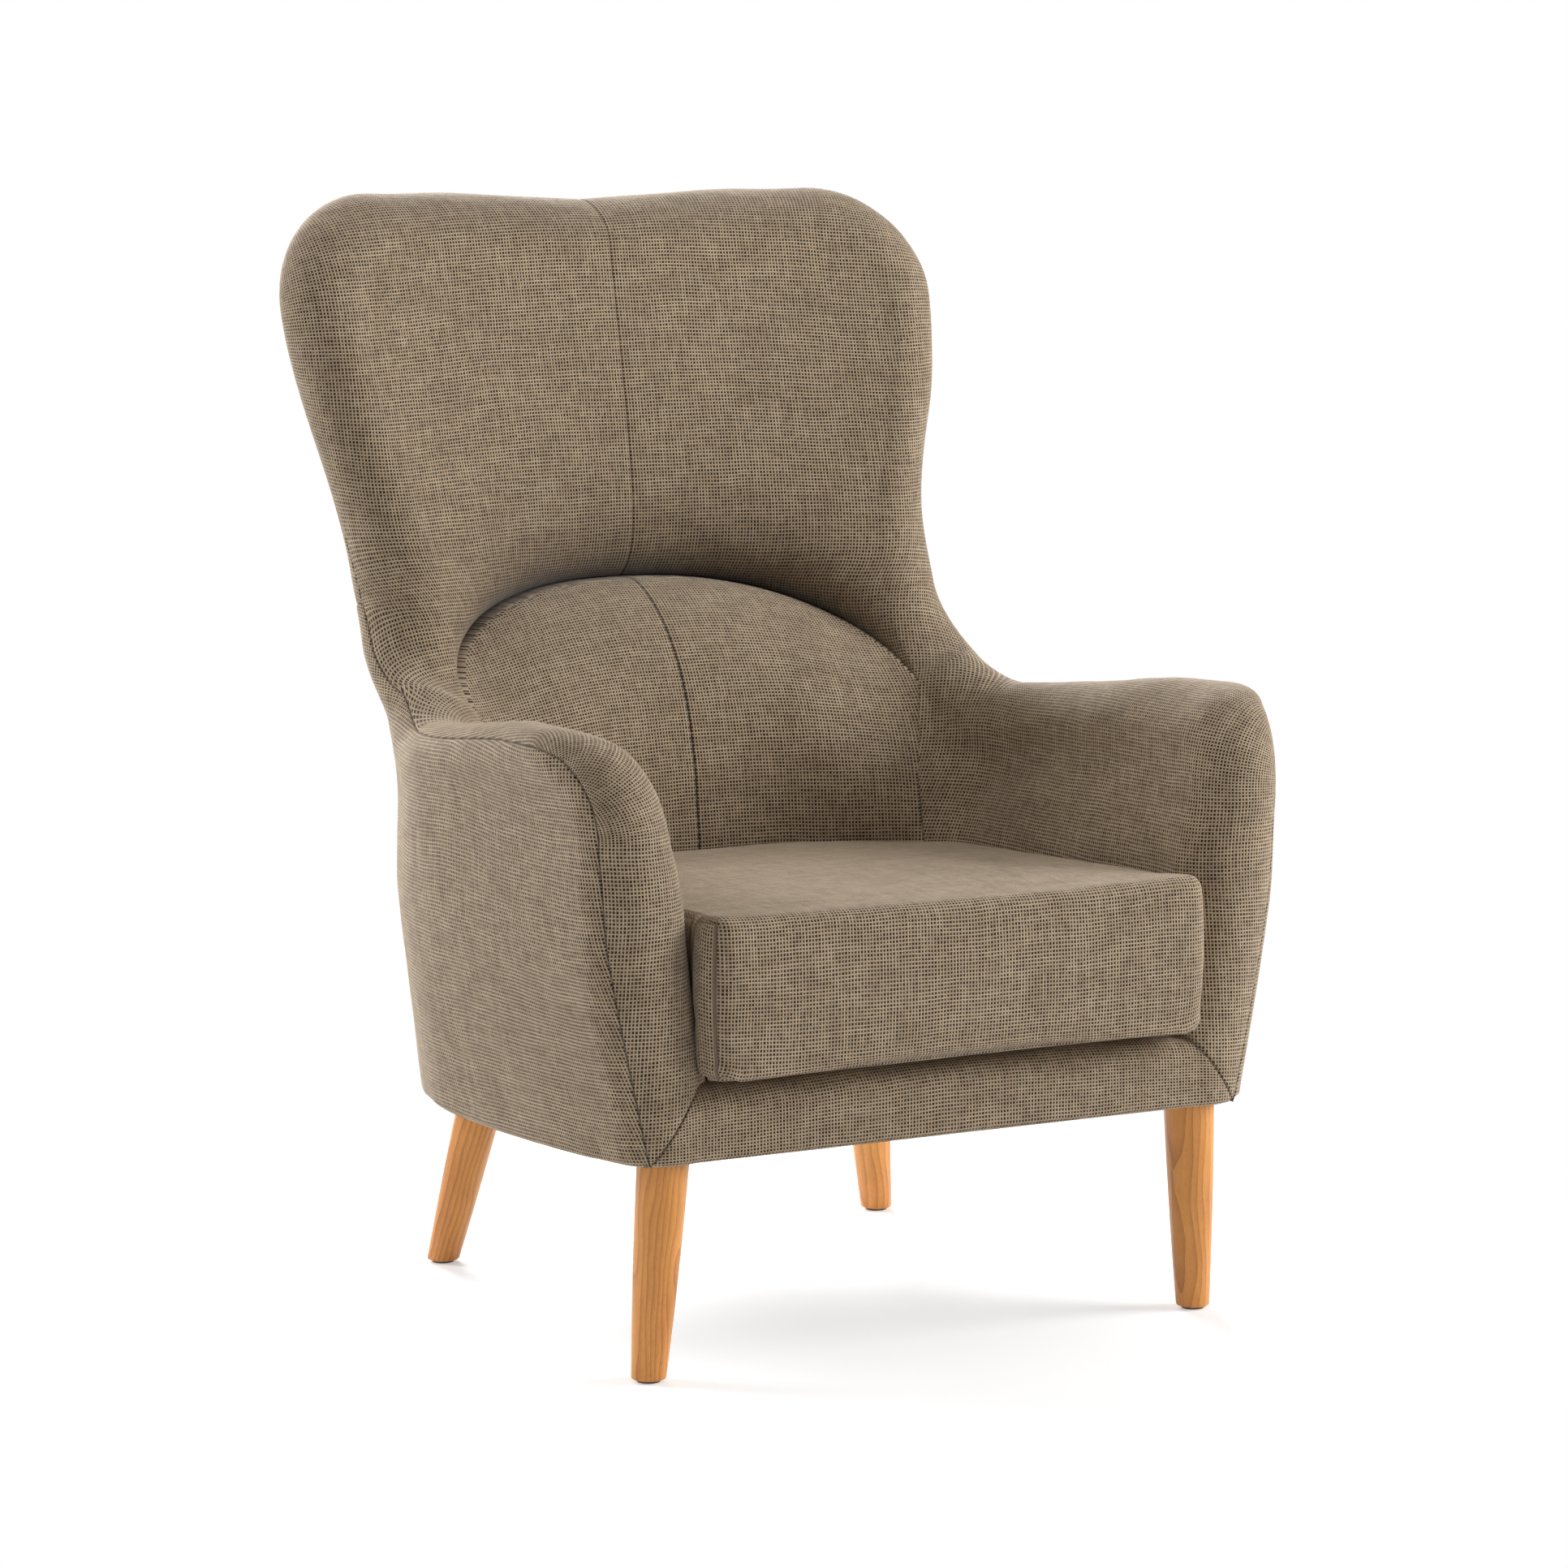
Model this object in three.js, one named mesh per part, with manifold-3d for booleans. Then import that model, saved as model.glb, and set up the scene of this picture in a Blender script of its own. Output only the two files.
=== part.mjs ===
// Fireside chair: a high upholstered back that flows into rolled arms, a loose boxed seat cushion and
// four turned oak legs. Millimetres, +Z up, the sitter looks along -Y, the chair is symmetrical in X.
import * as THREE from 'three';
import { mergeVertices } from 'three/addons/utils/BufferGeometryUtils.js';
import Module from 'manifold-3d';

const wasm = await Module();
wasm.setup();

// Driving dimensions. Y is counted from the front feet and grows to the rear.
const chairHeight = 1076;
const deckFrontHeight = 284;
const seatFrameDepth = 75;
const undersideHeight = deckFrontHeight - seatFrameDepth;
const frontFootX = 300;
const rearFootX = 254;
const footSpacing = 537;
const rearOverhang = 41;
const armCrestHeight = 612;
const armSaddleHeight = 575;
const creaseHeight = 678;
const frontFaceY = -50;
const rearFaceY = footSpacing + rearOverhang;
const rearLeanDegrees = 13.2;
const rearBendDepth = 328;
const widestY = rearFaceY - rearBendDepth;
const shoulderHalfWidth = 370;
const shoulderDrop = 121;
const shoulderHeight = chairHeight - shoulderDrop;
const shoulderRadius = 120;
const waistHalfWidth = 328;
const waistHeight = 700;
const neckHeight = 665;
const neckRadius = 90;
const crownDip = 11;
const bumpX = 185;
const rollRadius = 45;
const armRollRadius = 102;

// Half widths of the wall's middle surface in plan, and the heights at which they are taken.
const baseHalfWidth = 328;
const sideHalfWidth = 343;
const armHalfWidth = 345;
const neckHalfWidth = 407;
const waistCurveHalfWidth = 448;
const shoulderCurveHalfWidth = 569;
const crownCurveHalfWidth = 600;
const sideLevel = 400;
const armLevel = 560;
const neckLevel = 628;
const planPower = 2.2;
const frontTuckLow = 34;
const frontTuckHigh = 5;
const frontTuckLevel = 500;

// Padding in front of the wall's middle surface.
const creasePadding = 33;
const lumbarReach = 101;
const lumbarRise = 150;
const lumbarRiseShare = 0.6;
const lumbarSideShare = 0.4;
const lumbarFallShare = 0.12;
const lumbarFullDrop = 180;
const lumbarUprightDrop = 258;
const crownPadding = 40;
const crownRise = 100;
const armPadFront = 18;
const armPadRear = 49;
const armPadRise = 130;
const armPadTop = 10;
const armBlendStart = 330;
const armBlendEnd = 500;
const seamFootPlace = 380;
const archPower = 2.2;

// Layers of the wall: cover cloth, foam, ply core, and the gap that separate layers keep.
const clearance = 0.35;
const coverGap = 0.9;
const waddingCoverGap = 1.7;
const coverThickness = 2.4;
const plyThickness = 18;
const plyOffset = 22;
const foamGap = 5;
const waddingGap = 5;
const webbingGap = 0.7;
const railEndGap = 0.7;
const railSetback = 3;
const panelSetback = 1.5;
const railInnerOffset = -20;
const seamTurnDegrees = 142;
const seamGap = 0.9;
const paddingSeamGap = 3;
const joinOverlap = 0.1;
const cutOverrun = 30;

// Seat frame, deck and front roll.
const baseBoardThickness = 18;
const baseBoardOuterInset = 6.2;
const baseBoardInnerInset = 60;
const undersideClothThickness = 1.5;
const seatTiltDegrees = 2.07;
const deckRearInset = 82;
const seatFall = Math.tan(THREE.MathUtils.degToRad(seatTiltDegrees)) * (footSpacing - deckRearInset);
const railUnderDeck = 11.55;
const railTopHeight = deckFrontHeight - seatFall - railUnderDeck;
const padFootDrop = 5;
const padFootHeight = deckFrontHeight - padFootDrop;
const deckClothThickness = 1.8;
const deckPadThickness = 5;
const baseBoardFrontDepth = 120;
const frontRailHalfLength = 262;
const frontRailFrontY = -20;
const frontRailThickness = 24;
const frontRollFaceY = -45;
const frontRollRadius = 24;
const frontRollRearY = 14;
const mitreTopDrop = 7;
const mitreTopHeight = padFootHeight - mitreTopDrop;
const mitreTopX = 272;
const facingDepth = 40;
const springWire = 3.8;
const springLoops = 6;
const springLoopHalfWidth = 19;
const springPitchX = 88;
const springSidePlaces = 2;
const springEndInset = 12;
const springSlack = 0.25;
const springRampLength = 60;
const railCornerPlace = 195;
const sideRailPlace = 262;
const sideRailFrontY = 40;

// Timbers of the back, along the ply layer.
const uprightHalfWidth = 31;
const railHalfHeight = 29;
const lumbarRailHeight = 452;
const neckRailHeight = 690;
const topRailHalfLength = 296;
const topRailDrop = 92;
const topRailHeight = chairHeight - topRailDrop;
const upperRailSpan = topRailHeight - neckRailHeight;
const webbingHeightShare = 0.1;
const webbingPlaceShares = [0.31, 0.62];
const webbingHalfHeight = upperRailSpan * webbingHeightShare;
const webbingThickness = 2;
const webbingHeights = [
  (lumbarRailHeight + neckRailHeight) / 2,
  ...webbingPlaceShares.map((share) => neckRailHeight + share * upperRailSpan),
];

// Loose seat cushion.
const cushionThickness = 155;
const cushionFrontY = -77;
const cushionFrontHalfWidth = 274;
const cushionCornerRadius = 26;
const cushionEdgeRadius = 15;
const cushionCrown = 9;
const cushionSideSwell = 3;
const cushionMiddleDepth = 46;
const cushionMiddleY = widestY - cushionMiddleDepth;
const cushionEaseSteps = 2;
const cushionSquabGap = 6;
const cushionClothThickness = 2;
const zipLength = 330;
const zipHeight = 9;
const zipGap = 0.5;

// Legs and their fixings.
const legTopRadius = 24.5;
const legFootRadius = 16.5;
const legFootEase = 2.5;
const frontLegLeanX = -12;
const frontLegLeanY = -7.5;
const rearLegLeanX = -38;
const rearLegLeanY = -36;
const glideRadius = 11;
const glideHeight = 2.2;
const boltRadius = 4;
const boltBelow = 38;
const nutFlangeRadius = 11;
const nutFlangeThickness = 1.6;
const nutBarrelRadius = 5.6;
const nutBarrelLength = 12;
const fixingClearance = 0.4;
const legSwell = 1;
const deckEdgeGap = 4;

// Facet counts.
const planSteps = 64;
const legSides = 18;
const fixingSides = 10;
const outlinePlaces = 12;
const railColumns = 8;
const uprightColumns = 3;
const webbingColumns = 8;
const springSides = 4;
const springStepsPerLoop = 4;
const cushionSidePlaces = 7;
const cushionCornerSteps = 2;
const cushionTurns = [35, 65];
const cushionCapShares = [0.35, 0.75];

const cloth = new THREE.MeshStandardMaterial({ color: 0x8f7f69, roughness: 0.95, metalness: 0 });
const lining = new THREE.MeshStandardMaterial({ color: 0x3a352f, roughness: 0.95, metalness: 0 });
const foam = new THREE.MeshStandardMaterial({ color: 0xe6dcae, roughness: 0.9, metalness: 0 });
const oak = new THREE.MeshStandardMaterial({ color: 0xc98a4b, roughness: 0.45, metalness: 0 });
const beech = new THREE.MeshStandardMaterial({ color: 0xcfa878, roughness: 0.7, metalness: 0 });
const steel = new THREE.MeshStandardMaterial({ color: 0x8b8d90, roughness: 0.35, metalness: 1 });
const nylon = new THREE.MeshStandardMaterial({ color: 0x6e6a63, roughness: 0.6, metalness: 0 });
const elastic = new THREE.MeshStandardMaterial({ color: 0x55504a, roughness: 0.9, metalness: 0 });

const vec = (x, y, z) => new THREE.Vector3(x, y, z);
const clamp01 = (value) => Math.min(1, Math.max(0, value));
const smooth = (value) => clamp01(value) ** 2 * (3 - 2 * clamp01(value));
const mix = (from, to, share) => from + (to - from) * share;
const steps = (count) => Array.from({ length: count + 1 }, (_, index) => index / count);
const rearLean = Math.tan(THREE.MathUtils.degToRad(rearLeanDegrees));
const seatTilt = Math.tan(THREE.MathUtils.degToRad(seatTiltDegrees));
const edgeFrontY = frontFaceY + rollRadius;
const coreHalf = plyThickness / 2;
const seamTurn = THREE.MathUtils.degToRad(seamTurnDegrees);

// Value at a height from a list of [height, value] pairs, eased between neighbours.
function atHeight(pairs, z) {
  const last = pairs.length - 1;
  if (z <= pairs[0][0]) return pairs[0][1];
  if (z >= pairs[last][0]) return pairs[last][1];
  const upper = pairs.findIndex(([height]) => height >= z);
  const [z0, v0] = pairs[upper - 1];
  const [z1, v1] = pairs[upper];
  const slope = (index) => {
    const [za, va] = pairs[Math.max(0, index - 1)];
    const [zb, vb] = pairs[Math.min(last, index + 1)];
    return (vb - va) / (zb - za);
  };
  const run = z1 - z0;
  const t = (z - z0) / run;
  const rise = (2 * t ** 3 - 3 * t ** 2 + 1) * v0 + (3 * t ** 2 - 2 * t ** 3) * v1;
  return rise + (t ** 3 - 2 * t ** 2 + t) * run * slope(upper - 1) + (t ** 3 - t ** 2) * run * slope(upper);
}

const wallHalfWidths = [
  [undersideHeight, baseHalfWidth],
  [sideLevel, sideHalfWidth],
  [armLevel, armHalfWidth],
  [neckLevel, neckHalfWidth],
  [waistHeight, waistCurveHalfWidth],
  [shoulderHeight, shoulderCurveHalfWidth],
  [chairHeight, crownCurveHalfWidth],
];

const wallRearY = (z) => rearFaceY - rollRadius + rearLean * (z - undersideHeight);

// Plan of the wall's middle surface at one height: half a rounded rear, measured from the centre.
const planCache = new Map();
function planAt(z) {
  if (planCache.has(z)) return planCache.get(z);
  const width = atHeight(wallHalfWidths, z);
  const depth = wallRearY(z) - widestY;
  const points = steps(planSteps).map((share) => {
    const angle = share * Math.PI / 2;
    const x = width * Math.sin(angle) ** (2 / planPower);
    const y = widestY + depth * Math.max(0, Math.cos(angle)) ** (2 / planPower);
    return { x, y, run: 0 };
  });
  for (let i = 1; i < points.length; i += 1) {
    const step = Math.hypot(points[i].x - points[i - 1].x, points[i].y - points[i - 1].y);
    points[i].run = points[i - 1].run + step;
  }
  const tuckShare = clamp01((z - undersideHeight) / (frontTuckLevel - undersideHeight));
  const tuck = mix(frontTuckLow, frontTuckHigh, tuckShare);
  const plan = { width, depth, points, tuck, length: points[planSteps].run };
  planCache.set(z, plan);
  return plan;
}

// Middle surface of the wall: place is measured along the wall from the centre of the back.
function middleAt(place, z) {
  const side = place < 0 ? -1 : 1;
  const run = Math.abs(place);
  const plan = planAt(z);
  let x;
  let y;
  let normal;
  if (run < plan.length) {
    const upper = Math.max(1, plan.points.findIndex((point) => point.run > run));
    const a = plan.points[upper - 1];
    const b = plan.points[upper];
    const share = (run - a.run) / (b.run - a.run);
    x = mix(a.x, b.x, share);
    y = mix(a.y, b.y, share);
    const power = planPower - 1;
    const [across, back] = [x / plan.width, (y - widestY) / plan.depth];
    normal = vec(across ** power / plan.width, back ** power / plan.depth, 0);
  } else {
    y = widestY - (run - plan.length);
    const share = (widestY - y) / (widestY - edgeFrontY);
    x = plan.width - plan.tuck * share ** 2;
    normal = vec(1, -2 * plan.tuck * share / (widestY - edgeFrontY), 0);
  }
  normal.normalize();
  return { point: vec(side * x, y, z), normal: vec(side * normal.x, normal.y, 0) };
}

const placeAtY = (y, z) => planAt(z).length + widestY - y;

// Place along the wall of a point of the back, from its X.
function placeAtX(x, z) {
  const { points } = planAt(z);
  const upper = points.findIndex((point) => point.x > x);
  const share = (x - points[upper - 1].x) / (points[upper].x - points[upper - 1].x);
  return mix(points[upper - 1].run, points[upper].run, share);
}

// Edge line: the middle of the rolled edge, from the foot of the arm's front to the centre of the top.
const frontArcRadius = armRollRadius - rollRadius;
const edgeCrest = armCrestHeight - rollRadius;
const edgeSaddle = armSaddleHeight - rollRadius;
const saddleRadius = neckRadius + rollRadius;
const neckPlace = placeAtX(waistHalfWidth - rollRadius, neckHeight);
const saddlePlace = neckPlace + saddleRadius;
const saddleY = widestY + planAt(edgeSaddle).length - saddlePlace;

function edgeOfFront(share) {
  const z = mix(undersideHeight, edgeCrest - frontArcRadius, share);
  return { place: placeAtY(edgeFrontY, z), z };
}

function edgeOfFrontRoll(share) {
  const angle = share * Math.PI / 2;
  const y = edgeFrontY + frontArcRadius * (1 - Math.cos(angle));
  const z = edgeCrest - frontArcRadius * (1 - Math.sin(angle));
  return { place: placeAtY(y, z), z };
}

function edgeOfArmTop(share) {
  const y = mix(edgeFrontY + frontArcRadius, saddleY, share);
  const z = edgeSaddle + (edgeCrest - edgeSaddle) * (1 - smooth(share) * 0.5 - share * 0.5);
  return { place: placeAtY(y, z), z };
}

function edgeOfSaddle(share) {
  const angle = share * Math.PI / 2;
  const place = saddlePlace - saddleRadius * Math.sin(angle);
  return { place, z: edgeSaddle + saddleRadius * (1 - Math.cos(angle)) };
}

function edgeOfWing(share) {
  const z = mix(edgeSaddle + saddleRadius, shoulderHeight, share);
  const spread = smooth((z - waistHeight) / (shoulderHeight - waistHeight));
  const x = mix(waistHalfWidth, shoulderHalfWidth, spread) - rollRadius;
  return { place: placeAtX(x, z), z };
}

function edgeOfShoulder(share) {
  const angle = share * Math.PI / 2;
  const radius = shoulderRadius - rollRadius;
  const x = shoulderHalfWidth - shoulderRadius + radius * Math.cos(angle);
  const z = shoulderHeight + radius * Math.sin(angle);
  return { place: placeAtX(x, z), z };
}

function edgeOfTop(share) {
  const startX = shoulderHalfWidth - shoulderRadius;
  const startZ = shoulderHeight + shoulderRadius - rollRadius;
  const topZ = chairHeight - rollRadius;
  const x = startX * (1 - share);
  const z = x > bumpX
    ? mix(topZ, startZ, smooth((x - bumpX) / (startX - bumpX)))
    : topZ - crownDip * smooth(1 - x / bumpX);
  return { place: x > 0 ? placeAtX(x, z) : 0, z };
}

const edgeParts = [
  { points: edgeOfFront, count: 3 },
  { points: edgeOfFrontRoll, count: 4 },
  { points: edgeOfArmTop, count: 4 },
  { points: edgeOfSaddle, count: 4 },
  { points: edgeOfWing, count: 5 },
  { points: edgeOfShoulder, count: 3 },
  { points: edgeOfTop, count: 4 },
];
const edge = [edgeOfFront(0)];
for (const part of edgeParts) {
  for (const share of steps(part.count).slice(1)) edge.push(part.points(share));
}
const countTo = (parts) => edgeParts.slice(0, parts).reduce((sum, part) => sum + part.count, 0);
const crestMeeting = countTo(3) + edgeParts[3].count / 2;
const rearMeeting = countTo(4);
const topCentre = edge.length - 1;
const meeting = edge[crestMeeting];

// The crease is an arch: highest at the centre, running out at the meeting point on the crest.
const archHeight = (place) => creaseHeight
  - (creaseHeight - meeting.z) * (Math.abs(place) / meeting.place) ** archPower;

// Thickness of the padding in front of the back, from the lumbar roll over the crease to the crown.
function backPadding(place, z) {
  const share = Math.abs(place) / meeting.place;
  const base = creasePadding + (rollRadius - creasePadding) * share ** 2;
  const drop = archHeight(place) - z;
  if (drop <= 0) {
    const crown = crownPadding * (1 - Math.exp(drop / crownRise));
    return base + crown * Math.max(0, 1 - share ** 2);
  }
  const rise = Math.sin(Math.PI / 2 * Math.min(1, drop / lumbarRise) ** lumbarRiseShare);
  const reach = lumbarReach * (1 - lumbarSideShare * (place / seamFootPlace) ** 2);
  const fall = lumbarFallShare * Math.max(0, Math.min(drop, lumbarUprightDrop) - lumbarFullDrop);
  return base + reach * rise - fall - rearLean * Math.max(0, drop - lumbarUprightDrop);
}

// Thickness of the padding inside the arm, fuller low down and towards the rear.
function armPadding(y, z) {
  const along = (y - edgeFrontY) / (widestY - edgeFrontY);
  const crest = mix(edgeCrest, edgeSaddle, clamp01((y - edgeFrontY) / (saddleY - edgeFrontY)));
  const rise = smooth((crest - armPadTop - z) / armPadRise);
  return rollRadius + rise * mix(armPadFront, armPadRear, along);
}

function paddingAt(place, z) {
  const run = Math.abs(place);
  const blend = smooth((run - armBlendStart) / (armBlendEnd - armBlendStart));
  const y = middleAt(place, z).point.y;
  return mix(backPadding(place, z), armPadding(y, z), blend);
}

// A spot of the padded wall: a chart position, and for the rolled edge how far round it is turned.
const faceSpot = (place, z, side) => ({ place, z, side });

// Outward direction at an edge point: along the wall's surface, square to the edge line.
function edgeOutward(index) {
  const before = edge[Math.max(0, index - 1)];
  const after = edge[Math.min(topCentre, index + 1)];
  const tangent = middleAt(after.place, after.z).point.sub(middleAt(before.place, before.z).point);
  if (index === topCentre) tangent.set(-1, 0, 0);
  if (index === 0) tangent.set(0, 0, 1);
  const { place, z } = edge[index];
  const step = clearance;
  const alongWall = middleAt(place + step, z).point.sub(middleAt(place, z).point);
  const upWall = middleAt(place, z + step).point.sub(middleAt(place, z).point);
  const across = new THREE.Vector3().crossVectors(alongWall, upWall);
  const outward = new THREE.Vector3().crossVectors(across, tangent).normalize();
  const inward = index > countTo(4) ? vec(-1, 0, -1) : vec(0, 1, -1);
  return outward.dot(inward) > 0 ? outward.negate() : outward;
}
const edgeDirections = edge.map((_, index) => edgeOutward(index));

const rollSpot = (index, turn) => ({ ...edge[index], side: 0, turn, outward: edgeDirections[index] });

// Point of a spot on the skin, or below it by a depth.
function skinPoint(spot, depth) {
  const { point, normal } = middleAt(spot.place, spot.z);
  const padding = paddingAt(spot.place, spot.z);
  if (spot.side < 0) return point.addScaledVector(normal, depth - padding);
  if (spot.side > 0) return point.addScaledVector(normal, rollRadius - depth);
  const half = (padding + rollRadius) / 2;
  const across = (rollRadius - padding) / 2 - Math.cos(spot.turn) * (half - depth);
  return point.addScaledVector(normal, across)
    .addScaledVector(spot.outward, Math.sin(spot.turn) * (rollRadius - depth));
}

// Point of a spot on the ply core, grown by a gap.
function corePoint(spot, gap) {
  const { point, normal } = middleAt(spot.place, spot.z);
  const reach = coreHalf + gap;
  if (spot.side !== 0) return point.addScaledVector(normal, plyOffset + spot.side * reach);
  return point.addScaledVector(normal, plyOffset - Math.cos(spot.turn) * reach)
    .addScaledVector(spot.outward, Math.sin(spot.turn) * reach);
}

// Closed solid between two grids of matching points, each square split along its shorter diagonal.
function solidBetween(near, far) {
  const rows = near.length;
  const columns = near[0].length;
  const positions = [...near.flat(), ...far.flat()].flatMap((point) => point.toArray());
  const at = (layer, row, column) => layer * rows * columns + row * columns + column;
  const faces = [];
  const quad = (a, b, c, d) => faces.push([a, b, c], [a, c, d]);
  for (let i = 0; i + 1 < rows; i += 1) {
    for (let j = 0; j + 1 < columns; j += 1) {
      const falling = near[i][j].distanceTo(near[i + 1][j + 1]) > near[i + 1][j].distanceTo(near[i][j + 1]);
      const [a, b, c, d] = [at(0, i, j), at(0, i + 1, j), at(0, i + 1, j + 1), at(0, i, j + 1)];
      const [e, f, g, h] = [at(1, i, j), at(1, i + 1, j), at(1, i + 1, j + 1), at(1, i, j + 1)];
      if (falling) {
        quad(b, c, d, a);
        quad(f, e, h, g);
      } else {
        quad(a, b, c, d);
        quad(e, h, g, f);
      }
    }
    const end = columns - 1;
    quad(at(0, i, 0), at(1, i, 0), at(1, i + 1, 0), at(0, i + 1, 0));
    quad(at(0, i, end), at(0, i + 1, end), at(1, i + 1, end), at(1, i, end));
  }
  for (let j = 0; j + 1 < columns; j += 1) {
    quad(at(0, 0, j), at(0, 0, j + 1), at(1, 0, j + 1), at(1, 0, j));
    quad(at(0, rows - 1, j), at(1, rows - 1, j), at(1, rows - 1, j + 1), at(0, rows - 1, j + 1));
  }
  const geometry = new THREE.BufferGeometry();
  geometry.setAttribute('position', new THREE.Float32BufferAttribute(positions, 3));
  geometry.setIndex(faces.flat());
  return solidOf(geometry);
}

// Manifold solid of a closed geometry, turned the right way out.
function solidOf(geometry) {
  const bare = geometry.clone();
  bare.deleteAttribute('normal');
  bare.deleteAttribute('uv');
  const merged = mergeVertices(bare);
  const index = merged.index.array;
  const triangles = [];
  for (let i = 0; i < index.length; i += 3) {
    const [a, b, c] = [index[i], index[i + 1], index[i + 2]];
    if (a !== b && b !== c && c !== a) triangles.push(a, b, c);
  }
  const vertices = merged.attributes.position.array;
  if (volumeOf(vertices, triangles) < 0) {
    for (let i = 0; i < triangles.length; i += 3) {
      [triangles[i + 1], triangles[i + 2]] = [triangles[i + 2], triangles[i + 1]];
    }
  }
  const mesh = new wasm.Mesh({
    numProp: 3,
    vertProperties: new Float32Array(vertices),
    triVerts: new Uint32Array(triangles),
  });
  return new wasm.Manifold(mesh);
}

function volumeOf(vertices, triangles) {
  const corner = (index) => vec(...vertices.slice(3 * index, 3 * index + 3));
  let volume = 0;
  for (let i = 0; i < triangles.length; i += 3) {
    const [a, b, c] = [corner(triangles[i]), corner(triangles[i + 1]), corner(triangles[i + 2])];
    volume += a.dot(b.cross(c));
  }
  return volume;
}

function geometryOf(solid) {
  const mesh = solid.getMesh();
  const geometry = new THREE.BufferGeometry();
  geometry.setAttribute('position', new THREE.Float32BufferAttribute(mesh.vertProperties, 3));
  geometry.setIndex(Array.from(mesh.triVerts));
  geometry.computeVertexNormals();
  return geometry;
}

const mirrored = (solid) => solidOf(geometryOf(solid).scale(-1, 1, 1));
const placed = (geometry, x, y, z) => solidOf(geometry.translate(x, y, z));

function boxBetween(x0, x1, y0, y1, z0, z1) {
  const box = new THREE.BoxGeometry(x1 - x0, y1 - y0, z1 - z0);
  return placed(box, (x0 + x1) / 2, (y0 + y1) / 2, (z0 + z1) / 2);
}

// Upright rod or disc: a revolve about a vertical line at x, y.
function turned(profile, sides, x, y) {
  const lathe = new THREE.LatheGeometry(profile.map(([r, z]) => new THREE.Vector2(r, z)), sides);
  return placed(lathe.rotateX(Math.PI / 2), x, y, 0);
}

// Flat plate of an outline in plan, with a thickness along Z.
function plate(outline, bottom, top) {
  const shape = new THREE.Shape(outline.map(({ x, y }) => new THREE.Vector2(x, y)));
  const geometry = new THREE.ExtrudeGeometry(shape, { depth: top - bottom, bevelEnabled: false });
  return placed(geometry, 0, 0, bottom);
}

const chair = new THREE.Group();
function add(name, solid, material) {
  const mesh = new THREE.Mesh(geometryOf(solid), material);
  mesh.name = name;
  chair.add(mesh);
}

function addPair(name, solid, material) {
  add(`${name}_right`, solid, material);
  add(`${name}_left`, mirrored(solid), material);
}

// Rings of spots from a foot on the inner or outer face, over the rolled edge, up to the outer seam.
const innerFaceShares = [0, 0.3, 0.58, 0.8, 0.93, 1];
const outerFaceShares = [0, 0.42, 0.72, 0.84, 0.93, 1];
const rollSteps = 3;

function ring(index, foot, side, gap) {
  const top = edge[index];
  const faceShares = side < 0 ? innerFaceShares : outerFaceShares;
  const face = faceShares.map((share) => faceSpot(
    mix(foot.place, top.place, share),
    mix(foot.z, top.z, share),
    side,
  ));
  if (side < 0) {
    return [...face, ...steps(rollSteps).slice(1).map((share) => rollSpot(index, share * seamTurn))];
  }
  const rollMiddle = (seamTurn + Math.PI) / 2;
  return [...face, rollSpot(index, rollMiddle), rollSpot(index, seamTurn + gap / rollRadius)];
}

// Rings moved along the wall by a seam's gap, which fades out towards the front of the arm.
const shift = (rings, gap) => rings.map((spots) => spots.map((spot) => {
  const fade = smooth((spot.place - seamFootPlace) / (armBlendEnd - armBlendStart));
  return { ...spot, place: spot.place + gap * (1 - fade) };
}));
const layer = (rings, point, amount) => rings.map((spots) => spots.map((spot) => point(spot, amount)));
const skinOf = (rings, thickness) => solidBetween(
  layer(rings, skinPoint, 0),
  layer(rings, skinPoint, thickness),
);
const coverOf = (rings) => skinOf(rings, coverThickness);
const foamOf = (rings) => solidBetween(
  layer(rings, skinPoint, coverThickness + coverGap),
  layer(rings, corePoint, foamGap),
);
const waddingOf = (rings) => solidBetween(
  layer(rings, skinPoint, coverThickness + waddingCoverGap),
  layer(rings, corePoint, waddingGap),
);
const ringsBetween = (from, to, foot, side, gap) => steps(to - from)
  .map((share) => Math.round(from + share * (to - from)))
  .map((index) => ring(index, foot(index), side, gap));

// Foot of an arm ring: straight in from the upright front, then spread along the foot line.
function armFoot(index, lowest, rearPlace, last) {
  const footY = edgeFrontY + facingDepth;
  const fanEnd = countTo(2);
  const z = Math.min(edge[index].z, lowest);
  if (index <= fanEnd) return { place: placeAtY(footY, z), z };
  const share = (index - fanEnd) / (last - fanEnd);
  return { place: mix(placeAtY(footY, lowest), rearPlace, share), z: lowest };
}

// Foot of a ring of the back: along a lower line to the centre, then up the centre line.
function backFoot(index, first, lowerRings, lower) {
  const turn = first + lowerRings;
  if (index <= turn) return lower((index - first) / lowerRings);
  const share = (index - turn) / (topCentre - turn);
  const topZ = edge[topCentre].z - rollRadius;
  return { place: 0, z: mix(lower(1).z, topZ, share) };
}

// Inside of the arm: from the lumbar seam to the rolled front, over the crest to the outer seam.
const insideArmRings = shift(
  ringsBetween(0, crestMeeting, (i) => armFoot(i, padFootHeight, seamFootPlace, crestMeeting), -1),
  seamGap,
);

// Outside of the arm: from the seam under the crest down to the underside, round the rear corner.
const outsideArmRings = (gap) => shift(
  ringsBetween(0, rearMeeting, (i) => armFoot(i, undersideHeight, neckPlace, rearMeeting), 1, gap),
  seamGap,
);

// Spots on the centre line, moved across it where two halves are joined.
const centred = (rings, overlap) => rings.map((spots) => spots.map((spot) => (
  spot.place === 0 ? { ...spot, place: -overlap } : spot
)));

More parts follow.
